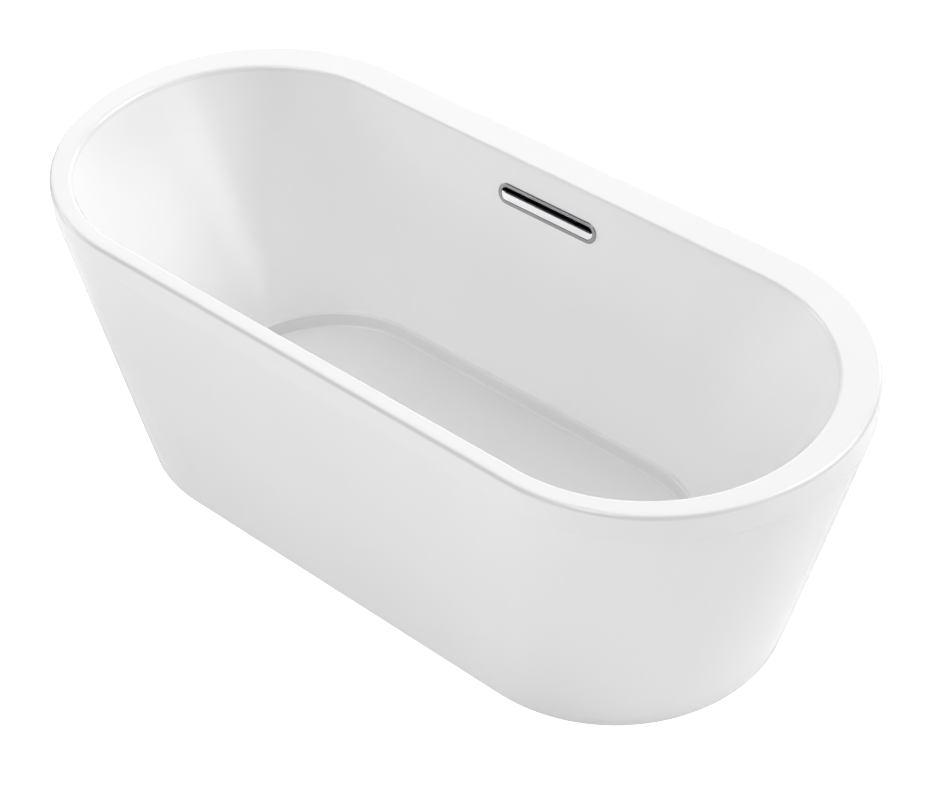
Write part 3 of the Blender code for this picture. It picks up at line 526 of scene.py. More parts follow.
@dataclass(frozen=True)
class SprayedFibre(Finish):
    """Chopped glass strands in resin, sprayed and rolled down."""

    def wire(self, graph: Graph, shader: bpy.types.Node, effects: Effects) -> None:
        """Wire crossing strands, resin pools and their relief.

        Args:
            graph: The material's graph.
            shader: Its Principled shader.
            effects: The shared node groups.
        """
        where = graph.add("TexCoord").outputs["Object"]
        strands = None
        for turn, stretch in ((0.4, 9.0), (1.5, 7.0), (2.6, 11.0)):
            spin = graph.add("VectorRotate", {"rotation_type": "EULER_XYZ"}, Vector=where,
                             Rotation=(turn, turn * 0.7, turn * 1.9))
            long = graph.add("VectorMath", {"operation": "MULTIPLY"}, i0=spin.outputs[0],
                             i1=(1.0, stretch, stretch))
            noise = graph.add("TexNoise", None, Vector=long.outputs[0], Scale=42.0, Detail=3.0,
                              Distortion=0.6)
            lines = graph.remap(noise.outputs["Fac"], 0.52, 0.62, 0.0, 1.0)
            strands = lines if strands is None else graph.math("MAXIMUM", strands, lines)
        pools = graph.add("TexNoise", None, Vector=where, Scale=11.0, Detail=4.0)
        resin = graph.mix(graph.remap(pools.outputs["Fac"], 0.35, 0.65, 0.0, 1.0), self.tint(0.72),
                          (*self.colour, 1.0))
        colour = graph.mix(graph.math("MULTIPLY", strands, 0.55), resin, (0.86, 0.85, 0.78, 1.0))
        dust = effects.place(graph, effects.dust, Colour=colour, Amount=0.3)
        graph.tree.links.new(dust.outputs["Colour"], shader.inputs["Base Color"])
        rough = graph.remap(strands, 0.0, 1.0, self.roughness - 0.2, self.roughness + 0.1)
        graph.tree.links.new(rough, shader.inputs["Roughness"])
        height = graph.math("ADD", graph.math("MULTIPLY", strands, 0.6), pools.outputs["Fac"])
        self.relief(graph, shader, height, 0.6, 0.003)


@dataclass(frozen=True)
class PressedBoard(Finish):
    """Moisture-resistant chipboard: pressed flakes, tinted green."""

    def wire(self, graph: Graph, shader: bpy.types.Node, effects: Effects) -> None:
        """Wire flakes of two sizes, warped a little, and their relief.

        Args:
            graph: The material's graph.
            shader: Its Principled shader.
            effects: The shared node groups.
        """
        where = graph.add("TexCoord").outputs["Object"]
        warp = graph.add("TexNoise", None, Vector=where, Scale=60.0, Detail=2.0)
        moved = graph.add("VectorMath", {"operation": "MULTIPLY_ADD"}, i0=warp.outputs["Color"],
                          i1=(0.02, 0.02, 0.02), i2=where).outputs[0]
        large = graph.add("TexVoronoi", None, Vector=moved, Scale=190.0)
        small = graph.add("TexVoronoi", None, Vector=moved, Scale=520.0)
        flake = graph.add("SeparateColor", None, Color=large.outputs["Color"]).outputs[0]
        chip = graph.add("SeparateColor", None, Color=small.outputs["Color"]).outputs[1]
        base = graph.mix(flake, self.tint(0.62), (*self.colour, 1.0))
        colour = graph.mix(graph.math("MULTIPLY", chip, 0.45), base, (0.66, 0.62, 0.45, 1.0))
        dust = effects.place(graph, effects.dust, Colour=colour, Amount=0.4)
        graph.tree.links.new(dust.outputs["Colour"], shader.inputs["Base Color"])
        rough = graph.remap(flake, 0.0, 1.0, self.roughness - 0.12, self.roughness + 0.1)
        graph.tree.links.new(rough, shader.inputs["Roughness"])
        self.relief(graph, shader, graph.math("ADD", flake, chip), 0.3, 0.0008)


@dataclass(frozen=True)
class SawnTimber(Finish):
    """Sawn softwood, its grain along X."""

    def wire(self, graph: Graph, shader: bpy.types.Node, effects: Effects) -> None:
        """Wire the growth rings and the fibres.

        Args:
            graph: The material's graph.
            shader: Its Principled shader.
            effects: The shared node groups; not used.
        """
        where = graph.add("TexCoord").outputs["Object"]
        along = graph.add("VectorMath", {"operation": "MULTIPLY"}, i0=where, i1=(0.06, 1.0, 1.0)).outputs[0]
        rings = graph.add("TexWave", {"bands_direction": "Y"}, Vector=along, Scale=55.0, Distortion=7.0,
                          Detail=3.0,
                          Detail_Scale=1.5)
        fibre = graph.add("TexNoise", None, Vector=along, Scale=700.0, Detail=3.0)
        ring = graph.remap(rings.outputs["Fac"], 0.3, 0.95, 0.0, 1.0)
        colour = graph.mix(ring, (*self.colour, 1.0), self.tint(0.62))
        colour = graph.mix(graph.math("MULTIPLY", fibre.outputs["Fac"], 0.3), colour, self.tint(0.45))
        graph.tree.links.new(colour, shader.inputs["Base Color"])
        rough = graph.remap(ring, 0.0, 1.0, self.roughness, self.roughness - 0.12)
        graph.tree.links.new(rough, shader.inputs["Roughness"])
        self.relief(graph, shader, graph.math("ADD", fibre.outputs["Fac"], ring), 0.35, 0.0006)


@dataclass(frozen=True)
class SoftRubber(Finish):
    """Black moulded rubber with a bloom of powder."""

    def wire(self, graph: Graph, shader: bpy.types.Node, effects: Effects) -> None:
        """Wire the bloom and the skin's fine grain.

        Args:
            graph: The material's graph.
            shader: Its Principled shader.
            effects: The shared node groups.
        """
        grain = effects.place(graph, effects.grain, Scale=1500.0, Waves=45.0, Wave_Share=0.5)
        bloom = graph.mix(grain.outputs["Mask"], (*self.colour, 1.0), (0.10, 0.10, 0.10, 1.0))
        graph.tree.links.new(bloom, shader.inputs["Base Color"])
        rough = graph.remap(grain.outputs["Mask"], 0.0, 1.0, self.roughness - 0.1, self.roughness + 0.1)
        graph.tree.links.new(rough, shader.inputs["Roughness"])
        self.relief(graph, shader, grain.outputs["Height"], 0.2, 0.0004)


class Finishes:
    """Every finish of the bath, built once and found by its slot."""

    def __init__(self) -> None:
        """Build the materials."""
        effects = Effects()
        kinds = {
            Slot.ACRYLIC: GlossAcrylic("gloss_white_acrylic", (0.86, 0.86, 0.86), 0.10),
            Slot.GLASS_FIBRE: SprayedFibre("sprayed_glass_fibre", (0.70, 0.66, 0.50), 0.55),
            Slot.BOARD: PressedBoard("pressed_board", (0.42, 0.46, 0.33), 0.80),
            Slot.TIMBER: SawnTimber("sawn_softwood", (0.62, 0.44, 0.26), 0.75),
            Slot.ZINC_STEEL: ZincPlate("zinc_plated_steel", (0.62, 0.64, 0.66), 0.38),
            Slot.CHROME: PolishedMetal("polished_chrome", (0.80, 0.81, 0.83), 0.045),
            Slot.BRASS: TurnedBrass("turned_brass", (0.74, 0.56, 0.28), 0.28),
            Slot.PIPE_PLASTIC: MouldedPlastic("white_pipe_plastic", (0.80, 0.80, 0.79), 0.38),
            Slot.BLACK_PLASTIC: MouldedPlastic("black_nylon", (0.022, 0.022, 0.024), 0.45, 1300.0, 0.2, 0.08),
            Slot.RUBBER: SoftRubber("black_rubber", (0.028, 0.028, 0.028), 0.72),
        }
        self.by_slot = {slot: finish.make(effects) for slot, finish in kinds.items()}
        # A darker copy of the polished chrome for the overflow ring: its colour is painted shade, standing in
        # for a dark reflection.
        self.painted_shade_chrome = PolishedMetal("painted_shade_chrome", (0.36, 0.365, 0.38), 0.06).make(effects)
        # Near-black metal for the cover's bars and posts and the overflow screws: painted shade, so that they
        # read as the shade inside the slot.
        self.painted_shade_black = PolishedMetal("painted_shade_black_steel", (0.012, 0.012, 0.013), 0.35, 0.5).make(effects)
        self.satin = PolishedMetal("satin_chrome", (0.93, 0.93, 0.95), 0.16, 0.24, 420.0).make(effects)

    def __getitem__(self, slot: Slot) -> bpy.types.Material:
        """The material of a slot."""
        return self.by_slot[slot]


# ---- shape tools -------------------------------------------------------------------------------------
def arc(centre: Point, radius: float, start: float, end: float, steps: int) -> list[Point]:
    """Points on an arc.

    Args:
        centre: The arc's centre.
        radius: Its radius.
        start: Its first angle, in degrees.
        end: Its last angle, in degrees.
        steps: How many straight steps it takes.

    Returns:
        The points, both ends included.
    """
    angles = (math.radians(start + (end - start) * step / steps) for step in range(steps + 1))
    return [(centre[0] + radius * math.cos(angle), centre[1] + radius * math.sin(angle)) for angle in angles]


def softened(profile: Sequence[Point], radius: float, steps: int = 3, closed: bool = True) -> list[Point]:
    """Round the corners of a profile.

    Args:
        profile: The profile's corners, in order.
        radius: The largest radius to use. A short side gets a smaller one.
        steps: How many steps a corner takes.
        closed: Whether the last corner joins the first. The ends of an open profile stay sharp.

    Returns:
        The rounded profile.
    """
    corners = [Vector(point) for point in profile]
    count = len(corners)
    rounded: list[Point] = []
    for index, corner in enumerate(corners):
        if not closed and index in (0, count - 1):
            rounded.append(tuple(corner))
            continue
        before, after = corners[index - 1] - corner, corners[(index + 1) % count] - corner
        reach = min(radius, 0.45 * before.length, 0.45 * after.length)
        first, last = corner + before.normalized() * reach, corner + after.normalized() * reach
        for step in range(steps + 1):
            share = step / steps
            point = first * (1 - share) ** 2 + corner * 2 * share * (1 - share) + last * share ** 2
            rounded.append(tuple(point))
    return rounded


@dataclass(frozen=True)
class Oval:
    """An outline with two straight sides and half-round ends."""

    length: float
    width: float
    centre_y: float = 0.0

    STEPS = 64

    def ring(self, z: float, grow: float = 0.0) -> Ring:
        """The outline at a height, grown outwards.

        Args:
            z: The height.
            grow: How far it is moved outwards.

        Returns:
            Its points, counter-clockwise from the right end's front.
        """
        radius = self.width / 2 + grow
        straight = (self.length - self.width) / 2
        points: Ring = []
        for side, start in ((1, -math.pi / 2), (-1, math.pi / 2)):
            for step in range(self.STEPS + 1):
                angle = start + math.pi * step / self.STEPS
                points.append(Vector((side * straight + radius * math.cos(angle),
                                      self.centre_y + radius * math.sin(angle), z)))
        return points

    def between(self, other: "Oval", share: float) -> "Oval":
        """The outline part of the way to another."""
        return Oval(self.length + (other.length - self.length) * share,
                    self.width + (other.width - self.width) * share,
                    self.centre_y + (other.centre_y - self.centre_y) * share)


def round_ring(radius: float, z: float, x: float, y: float) -> Ring:
    """A circle with as many points as an Oval's outline, in the same order.

    Args:
        radius: The circle's radius.
        z: Its height.
        x: Its centre's x.
        y: Its centre's y.

    Returns:
        Its points.
    """
    points: Ring = []
    for start in (-math.pi / 2, math.pi / 2):
        for step in range(Oval.STEPS + 1):
            angle = start + math.pi * (step + 0.5) / (Oval.STEPS + 1)
            points.append(Vector((x + radius * math.cos(angle), y + radius * math.sin(angle), z)))
    return points


def lofted(rings: Sequence[Ring], wrap: bool = False, cap_first: bool = False,
           cap_last: bool = False) -> bmesh.types.BMesh:
    """A skin through rings of equally many points.

    Args:
        rings: The rings, in order.
        wrap: Whether the last ring joins the first.
        cap_first: Whether a face closes the first ring.
        cap_last: Whether a face closes the last ring.

    Returns:
        The skin.
    """
    mesh = bmesh.new()
    rows = [[mesh.verts.new(point) for point in ring] for ring in rings]
    pairs = list(zip(rows, rows[1:]))
    if wrap:
        pairs.append((rows[-1], rows[0]))
    for first, second in pairs:
        for index in range(len(first)):
            after = (index + 1) % len(first)
            mesh.faces.new((first[index], first[after], second[after], second[index]))
    if cap_first:
        mesh.faces.new(list(reversed(rows[0])))
    if cap_last:
        mesh.faces.new(rows[-1])
    mesh.normal_update()
    return mesh


def turned(profile: Sequence[Point], sides: int, ripple: Callable[[float, float, float],
                                                                  float] | None = None) -> bmesh.types.BMesh:
    """A turned solid or ring about Z.

    Args:
        profile: (radius, height) pairs down the outer side. If it starts and ends at radius 0 it is solid.
        sides: How many sides the turning has.
        ripple: What to add to the radius, given radius, height and angle.

    Returns:
        The closed skin.
    """
    solid = profile[0][0] == 0 and profile[-1][0] == 0
    body = list(profile[1:-1] if solid else profile)
    mesh = bmesh.new()
    rows = []
    for radius, height in body:
        row = []
        for side in range(sides):
            angle = 2 * math.pi * side / sides
            wide = radius + (ripple(radius, height, angle) if ripple else 0.0)
            row.append(mesh.verts.new((wide * math.cos(angle), wide * math.sin(angle), height)))
        rows.append(row)
    pairs = list(zip(rows, rows[1:]))
    if not solid:
        pairs.append((rows[-1], rows[0]))
    for upper, lower in pairs:
        for index in range(sides):
            after = (index + 1) % sides
            mesh.faces.new((lower[index], lower[after], upper[after], upper[index]))
    if solid:
        for row, height, first in ((rows[0], profile[0][1], True), (rows[-1], profile[-1][1], False)):
            tip = mesh.verts.new((0, 0, height))
            for index in range(sides):
                after = (index + 1) % sides
                mesh.faces.new((row[index], row[after], tip) if first else (row[after], row[index], tip))
    mesh.normal_update()
    return mesh


def swept(route: Sequence[Vector], section: Sequence[Point], inner: Sequence[Point] | None,
          side: Vector) -> bmesh.types.BMesh:
    """A section swept along a route.

    Args:
        route: The route's points.
        section: The section's outer points, counter-clockwise when looking back along the route.
        inner: The points of its bore, as many as the outer ones, or None for a solid.
        side: A direction that is never along the route. The section's first axis stays square to it.

    Returns:
        The closed skin.
    """
    def rings(points: Sequence[Point]) -> list[Ring]:
        """The section's ring at every point of the route.

        Args:
            points: The section's points.

        Returns:
            One ring for each point of the route.
        """
        made = []
        for index, spot in enumerate(route):
            before, after = route[max(index - 1, 0)], route[min(index + 1, len(route) - 1)]
            ahead = (after - before).normalized()
            across = side.cross(ahead).normalized()
            up = ahead.cross(across)
            made.append([spot + across * a + up * b for a, b in points])
        return made

    outer = rings(section)
    if inner is None:
        return lofted(outer, cap_first=True, cap_last=True)
    return lofted(outer + list(reversed(rings(inner))), wrap=True)


def bent_route(start: Vector, corner: Vector, end: Vector, radius: float, steps: int) -> list[Vector]:
    """A line with one round bend.

    Args:
        start: Where it starts.
        corner: Where its two legs would meet.
        end: Where it ends.
        radius: The bend's radius.
        steps: How many steps the bend takes.

    Returns:
        The route's points.
    """
    back, onward = (start - corner).normalized(), (end - corner).normalized()
    half = back.angle(onward) / 2
    centre = corner + (back + onward).normalized() * (radius / math.sin(half))
    first = corner + back * (radius / math.tan(half)) - centre
    last = corner + onward * (radius / math.tan(half)) - centre
    turn = first.angle(last)
    bend = [centre + (first * math.sin((1 - s / steps) * turn)
                      + last * math.sin(s / steps * turn)) / math.sin(turn)
            for s in range(steps + 1)]
    return [start, *bend, end]


def box_section(width: float, height: float, radius: float, steps: int = 4) -> list[Point]:
    """A rectangle with round corners, counter-clockwise.

    Args:
        width: Its size along the first axis.
        height: Its size along the second axis.
        radius: Its corners' radius.
        steps: How many steps a corner takes.

    Returns:
        Its points.
    """
    points: list[Point] = []
    for quarter, (a, b) in enumerate(((1, 1), (-1, 1), (-1, -1), (1, -1))):
        centre = (a * (width / 2 - radius), b * (height / 2 - radius))
        points += arc(centre, radius, 90 * quarter, 90 * quarter + 90, steps)
    return points


# ---- assembling --------------------------------------------------------------------------------------
class Builder:
    """Turns skins into dressed pieces, and remembers how many it made."""

    def __init__(self, finishes: Finishes) -> None:
        """Keep the finishes.

        Args:
            finishes: The materials to dress pieces in.
        """
        self.finishes = finishes
        self.count = 0

    def cutter(self, mesh: bmesh.types.BMesh, matrix: Matrix | None = None) -> bpy.types.Object:
        """A loose object that only cuts another.

        Args:
            mesh: Its skin, which is used up.
            matrix: Where it goes.

        Returns:
            The object.
        """
        data = bpy.data.meshes.new("cutter")
        bmesh.ops.recalc_face_normals(mesh, faces=mesh.faces)
        mesh.to_mesh(data)
        mesh.free()
        obj = bpy.data.objects.new("cutter", data)
        bpy.context.scene.collection.objects.link(obj)
        obj.matrix_world = matrix or Matrix.Identity(4)
        return obj

    def combine(self, obj: bpy.types.Object, others: Iterable[bpy.types.Object],
                operation: str = "DIFFERENCE") -> None:
        """Cut an object by others, or join them to it, and drop the others.

        Args:
            obj: The object to change.
            others: What cuts it or joins it.
            operation: The Boolean modifier's operation.
        """
        for other in others:
            modifier = obj.modifiers.new("shape", "BOOLEAN")
            modifier.operation = operation
            modifier.object = other
            self.apply(obj)
            bpy.data.objects.remove(other, do_unlink=True)

    @staticmethod
    def apply(obj: bpy.types.Object) -> None:
        """Turn an object's modifiers into its mesh.

        Args:
            obj: The object.
        """
        bpy.context.view_layer.update()
        graph = bpy.context.evaluated_depsgraph_get()
        made = bpy.data.meshes.new_from_object(obj.evaluated_get(graph))
        obj.modifiers.clear()
        obj.data = made

    def piece(self, name: str, mesh: bmesh.types.BMesh | bpy.types.Mesh, slot: Slot, body: str,
              replaces: Sequence[str] = (),
              matrix: Matrix | None = None, smooth: float = 40.0, thickness: float = 0.0,
              material: bpy.types.Material | None = None) -> bpy.types.Object:
        """Make one finished piece.

        Args:
            name: The piece's name.
            mesh: Its skin, or a mesh that it shares with other pieces.
            slot: The record's slot that it takes its finish from.
            body: The body that it rides on.
            replaces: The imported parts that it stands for.
            matrix: Where it goes.
            smooth: Edges sharper than this, in degrees, stay crisp.
            thickness: How much thickness an open skin gets, on the side away from its normals.
            material: Another material than the slot's own.

        Returns:
            The piece.
        """
        if isinstance(mesh, bmesh.types.BMesh):
            data = bpy.data.meshes.new(name)
            mesh.to_mesh(data)
            mesh.free()
        else:
            data = mesh
        obj = bpy.data.objects.new(name, data)
        bpy.context.scene.collection.objects.link(obj)
        if matrix is not None:
            obj.matrix_world = matrix
        if thickness:
            shell = obj.modifiers.new("thickness", "SOLIDIFY")
            shell.thickness, shell.offset = thickness, -1
            shell.use_even_offset = shell.use_quality_normals = True
            self.apply(obj)
        self.smooth(obj, smooth)
        obj.data.materials.clear()
        obj.data.materials.append(material or self.finishes[slot])
        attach(obj, body)
        if replaces:
            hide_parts(*replaces)
        self.count += 1
        return obj

    @staticmethod
    def smooth(obj: bpy.types.Object, degrees: float) -> None:
        """Shade an object smooth, with its sharper edges kept crisp.

        Args:
            obj: The object.
            degrees: The angle from which an edge stays crisp.
        """
        obj.data.shade_smooth()
        obj.data.set_sharp_from_angle(angle=math.radians(degrees))

    @staticmethod
    def flatten_normals(obj: bpy.types.Object) -> None:
        """Let wide faces keep their own shading beside narrow rounded ones.

        Args:
            obj: The object.
        """
        modifier = obj.modifiers.new("normals", "WEIGHTED_NORMAL")
        modifier.keep_sharp = True
        modifier.weight = 50
        modifier.mode = "FACE_AREA"

    def dress(self, slot: Slot, *nodes: str, material: bpy.types.Material | None = None) -> None:
        """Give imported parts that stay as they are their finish.

        Args:
            slot: The finish.
            *nodes: The parts' names.
            material: Another material than the finish's own.
        """
        for node in nodes:
            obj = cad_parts[node]
            obj.data.materials.clear()
            obj.data.materials.append(material or self.finishes[slot])


# ---- basin -------------------------------------------------------------------------------------------
@dataclass
class Basin:
    """The formed inner shell with its rim, and the glass fibre on its hidden side."""

    apron_height: float = 0.052
    edge_radius: float = 0.009
    acrylic: float = 0.004
    backing: float = 0.003
    gap: float = 0.0003
    mouth: Oval = Oval(1.588, 0.636, -0.020)
    mouth_edge: float = 0.0045
    ridge: Oval = Oval(1.079, 0.450, -0.020)
    ridge_z: float = 0.144
    ledge: float = 0.0035
    ridge_radius: float = 0.0055
    floor: Oval = Oval(1.054, 0.437, -0.020)
    floor_z: float = 0.118
    floor_fillet: float = 0.006
    drain_y: float = -0.020
    drain_seat: float = 0.112
    drain_hole: float = 0.025
    drain_recess: Point = (0.058, 0.041)
    wall_slot: Point = (0.2265, 0.0335)
    backing_slot: Point = (0.262, 0.070)
    rim: Oval = field(init=False)
    top: float = field(init=False)

    def __post_init__(self) -> None:
        """Read the rim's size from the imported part."""
        low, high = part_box("basin_shell")
        self.rim = Oval(high.x - low.x, high.y - low.y)
        self.top = high.z

    @property
    def crease_z(self) -> float:
        """Where the apron ends and the skirt starts."""
        return self.top - self.apron_height

    @property
    def lean(self) -> float:
        """How far the long walls lean out, as an angle."""
        return math.atan2((self.mouth.width - self.ridge.width) / 2 - self.ledge, self.top - self.ridge_z)

    def wall(self, z: float) -> Oval:
        """The wall's outline at a height, on its straight slope."""
        foot = Oval(self.ridge.length + 2 * self.ledge, self.ridge.width + 2 * self.ledge,
                    self.ridge.centre_y)
        return self.mouth.between(foot, (self.top - z) / (self.top - self.ridge_z))

    def rim_rings(self) -> list[Ring]:
        """The apron, its round upper edge, and the round edge of the mouth.

        Returns:
            The rings, from the crease to inside the mouth.
        """
        radius = self.edge_radius
        rings = [self.rim.ring(self.crease_z), self.rim.ring(self.crease_z + 0.0015)]
        rings += [self.rim.ring(z, grow) for grow, z in arc((-radius, self.top - radius), radius, 0, 90, 8)]
        edge = self.mouth_edge
        rings += [self.wall(z).ring(z, grow) for grow, z in arc((edge, self.top - edge), edge, 90, 178, 8)]
        return rings

    def wall_rings(self) -> list[Ring]:
        """The wall, the ledge at its foot, the rolled ridge, the step and the floor's fillet.

        Returns:
            The rings, from the mouth down to the floor.
        """
        heights = (self.top - 0.035, self.top - 0.15, self.top - 0.30, self.ridge_z + 0.02)
        rings = [self.wall(z).ring(z) for z in heights]
        cove = self.ledge
        foot = self.ridge_z + cove
        for grow, z in arc((0.0, foot), cove, 0, -75, 5):
            rings.append(self.ridge.ring(z, grow + (z - self.ridge_z) * math.tan(self.lean)))
        radius = self.ridge_radius
        rings += [self.ridge.ring(z, grow) for grow,
                  z in arc((0.0005, self.ridge_z - radius), radius, 88, 165, 7)]
        fillet = self.floor_fillet
        rings += [self.floor.ring(z, grow) for grow,
                  z in arc((-fillet, self.floor_z + fillet), fillet, -12, -90, 7)]
        return rings

    def drain_rings(self) -> list[Ring]:
        """The soft recess round the drain, from the flat floor to the seat.

        Returns:
            The rings, from the floor in to the seat.
        """
        (outer, inner), rings = self.drain_recess, []
        for step in range(9):
            share = step / 8
            soft = share * share * (3 - 2 * share)
            radius = outer + (inner - outer) * share
            z = self.floor_z + (self.drain_seat - self.floor_z) * soft
            rings.append(round_ring(radius, z, 0.0, self.drain_y))
        return rings

    def build(self, builder: Builder) -> None:
        """Make the shell and its backing.

        Args:
            builder: Makes and dresses the pieces.
        """
        rings = self.rim_rings() + self.wall_rings() + self.drain_rings()
        rings.append(round_ring(self.drain_hole, self.drain_seat, 0.0, self.drain_y))
        shell = builder.piece("basin_inner_shell", lofted(rings), Slot.ACRYLIC, Body.BATH.value,
                              ["basin_shell"],
                              thickness=self.acrylic)
        slot_cut = Overflow(self).pill(*self.wall_slot, (-0.03, 0.03))
        builder.combine(shell, [builder.cutter(slot_cut, Overflow(self).place)])
        builder.smooth(shell, 32)
        builder.flatten_normals(shell)
        self.build_backing(builder)

    def build_backing(self, builder: Builder) -> None:
        """Make the glass fibre skin, which follows the basin's hidden side.

        Args:
            builder: Makes and dresses the pieces.
        """
        reach = self.acrylic + self.gap
        slope = reach / math.cos(self.lean)
        heights = (self.top - 0.045, self.top - 0.2, self.top - 0.35, self.ridge_z)
        rings = [self.wall(z).ring(z, slope + 0.0012) for z in heights]
        rings += [self.floor.ring(z, grow) for grow,
                  z in arc((-0.004, self.floor_z - reach + 0.009), 0.009, -10, -90, 5)]
        rings += [round_ring(radius, self.floor_z - reach - drop, 0.0, self.drain_y)
                  for radius, drop in ((0.0590, 0.0), (0.0560, 0.0010), (0.0440, 0.0052), (0.0415, 0.0060),
                                       (0.0385, 0.0060))]
        backing = builder.piece("basin_glass_fibre", lofted(rings), Slot.GLASS_FIBRE, Body.BATH.value,
                                ["basin_backing"], thickness=self.backing)
        hole = Overflow(self).pill(*self.backing_slot, (-0.06, 0.03))
        builder.combine(backing, [builder.cutter(hole, Overflow(self).place)])
        builder.smooth(backing, 40)


@dataclass
class Skirt:
    """The outer shell: a tapered wall with a turned-in foot, and a lip tucked up inside the apron."""

    basin: Basin
    base: Oval = Oval(1.409, 0.629)
    wall: float = 0.005
    foot_radius: float = 0.004
    foot_flange: float = 0.034

    def build(self, builder: Builder) -> None:
        """Make the skirt.

        Args:
            builder: Makes and dresses the pieces.
        """
        basin, radius = self.basin, self.foot_radius
        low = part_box("outer_skirt")[0].z
        rings = [self.base.ring(low, -self.foot_flange), self.base.ring(low, -radius - 0.002)]
        rings += [self.base.ring(z, grow) for grow, z in arc((-radius, low + radius), radius, -90, -6, 6)]
        top = basin.crease_z - 0.00005
        for share in (0.15, 0.4, 0.7, 0.9):
            rings.append(self.base.between(basin.rim, share).ring(low + (top - low) * share))
        inset = basin.acrylic + 2 * basin.gap
        rings += [basin.rim.ring(top - 0.0008, -0.0001), basin.rim.ring(top, -0.0006),
                  basin.rim.ring(top, -inset)]
        rings += [basin.rim.ring(z, -inset) for z in (top + 0.004, basin.top - 0.018)]
        skirt = builder.piece("outer_shell", lofted(rings), Slot.ACRYLIC, Body.BATH.value, ["outer_skirt"],
                              smooth=50, thickness=self.wall)
        builder.flatten_normals(skirt)


# ---- overflow ----------------------------------------------------------------------------------------
@dataclass
class Overflow:
    """The slot overflow in the back wall. Its frame has X along the bath, Y up the wall and Z out of it."""

    basin: Basin
    z: float = 0.524
    bezel: Point = (0.235, 0.042)
    bezel_front: float = 0.0022
    opening: Point = (0.2190, 0.0262)
    bezel_back: float = 0.0130
    plate: Point = (0.2186, 0.0254)
    plate_top: float = 0.30
    plate_tilt: float = -8.0
    plate_front: float = 0.0008
    post_x: float = 0.060
    post_y: float = -0.0090
    post_radius: float = 0.0030
    post_height: float = 0.0132
    post_top: float = 0.0024
    bar_reach: float = 0.0150
    bar_depth: float = -0.0120

    @property
    def place(self) -> Matrix:
        """The overflow's own frame."""
        y = self.basin.wall(self.z).centre_y + self.basin.wall(self.z).width / 2
        return Matrix.Translation((0, y, self.z)) @ Matrix.Rotation(math.pi / 2 - self.basin.lean, 4, "X")

    @staticmethod
    def pill(length: float, height: float, depths: Point) -> bmesh.types.BMesh:
        """A solid pill that runs from one depth to another.

        Args:
            length: Its length.
            height: Its height.
            depths: Its first and last depth, rising.

        Returns:
            Its skin.
        """
        return lofted([Oval(length, height).ring(z) for z in depths], cap_first=True, cap_last=True)

    def build(self, builder: Builder) -> None:
        """Make the bezel and the plate, and dress what sits behind them.

        Args:
            builder: Makes and dresses the pieces.
        """
        bath = Body.BATH.value
        # The ring takes the darker copy of the chrome, whose colour is painted shade.
        builder.piece("overflow_ring", self.bezel_skin(), Slot.CHROME, bath, ["overflow_bezel"], self.place,
                      material=builder.finishes.painted_shade_chrome)
        tilt = Matrix.Translation((0, 0, self.plate_front)) @ Matrix.Rotation(math.radians(self.plate_tilt),
                                                                              4, "X")
        builder.piece("overflow_cover", self.plate_skin(), Slot.CHROME, bath, ["overflow_plate"],
                      self.place @ tilt,
                      material=builder.finishes.satin)
        # The bars and posts take the near-black metal: painted shade inside the slot.
        for name, side in (("left", -1), ("right", 1)):
            ends = [Vector((side * self.post_x, way * self.bar_reach, self.bar_depth)) for way in (-1, 1)]
            bar = swept(ends, box_section(0.0140, 0.0020, 0.0005), None, Vector((0, 0, 1)))
            builder.piece(f"overflow_bar_{name}", bar, Slot.CHROME, bath, matrix=self.place,
                          material=builder.finishes.painted_shade_black)
            wide, foot = self.post_radius, -self.post_height
            post = turned([(0, 0), (wide, 0), (wide, foot), (0, foot)], 24)
            spot = self.place @ Matrix.Translation((side * self.post_x, self.post_y, self.post_top))
            builder.piece(f"overflow_cover_post_{name}", post, Slot.CHROME, bath, matrix=spot,
                          material=builder.finishes.painted_shade_black)
        builder.dress(Slot.RUBBER, "overflow_gasket")
        builder.dress(Slot.BLACK_PLASTIC, "overflow_chamber")
        # The screws take the near-black metal too: painted shade inside the slot.
        builder.dress(Slot.ZINC_STEEL, "overflow_screw_left", "overflow_screw_right",
                      material=builder.finishes.painted_shade_black)

    def bezel_skin(self) -> bmesh.types.BMesh:
        """The ring: a flat band with rounded edges, and a sleeve through the slot.

        Returns:
            Its skin.
        """
        front, back = self.bezel_front, -self.bezel_back
        band = (self.bezel[1] - self.opening[1]) / 2
        sleeve, seat, outer, inner = 0.0015, 0.0003, 0.0016, 0.0010
        profile = [(0.0, back), (sleeve, back), (sleeve, seat), (band, seat)]
        profile += arc((band - outer, front - outer), outer, 0, 90, 6)
        profile += arc((inner, front - inner), inner, 90, 180, 5)
        oval = Oval(*self.opening)
        return lofted([oval.ring(depth, grow) for grow, depth in profile], wrap=True)

    def plate_skin(self) -> bmesh.types.BMesh:
        """The cover: a slightly crowned plate, narrowed above its middle so that a gap is left over it.

        Returns:
            Its skin.
        """
        edge = [(0.0, -0.0010), (0.0, -0.0002), (0.0002, 0.0003), (0.0006, 0.0006)]
        crown = []
        for step in range(1, 13):
            share = step / 12
            inset = 0.0006 + share * (self.plate[1] / 2 - 0.0012)
            crown.append((inset, 0.0006 + 0.0009 * (1 - (1 - share) ** 2)))
        rings = []
        for inset, depth in edge + crown:
            ring = Oval(*self.plate).ring(depth, -inset)
            for point in ring:
                point.y *= self.plate_top if point.y > 0 else 1.0
            rings.append(ring)
        return lofted(rings, cap_first=True, cap_last=True)


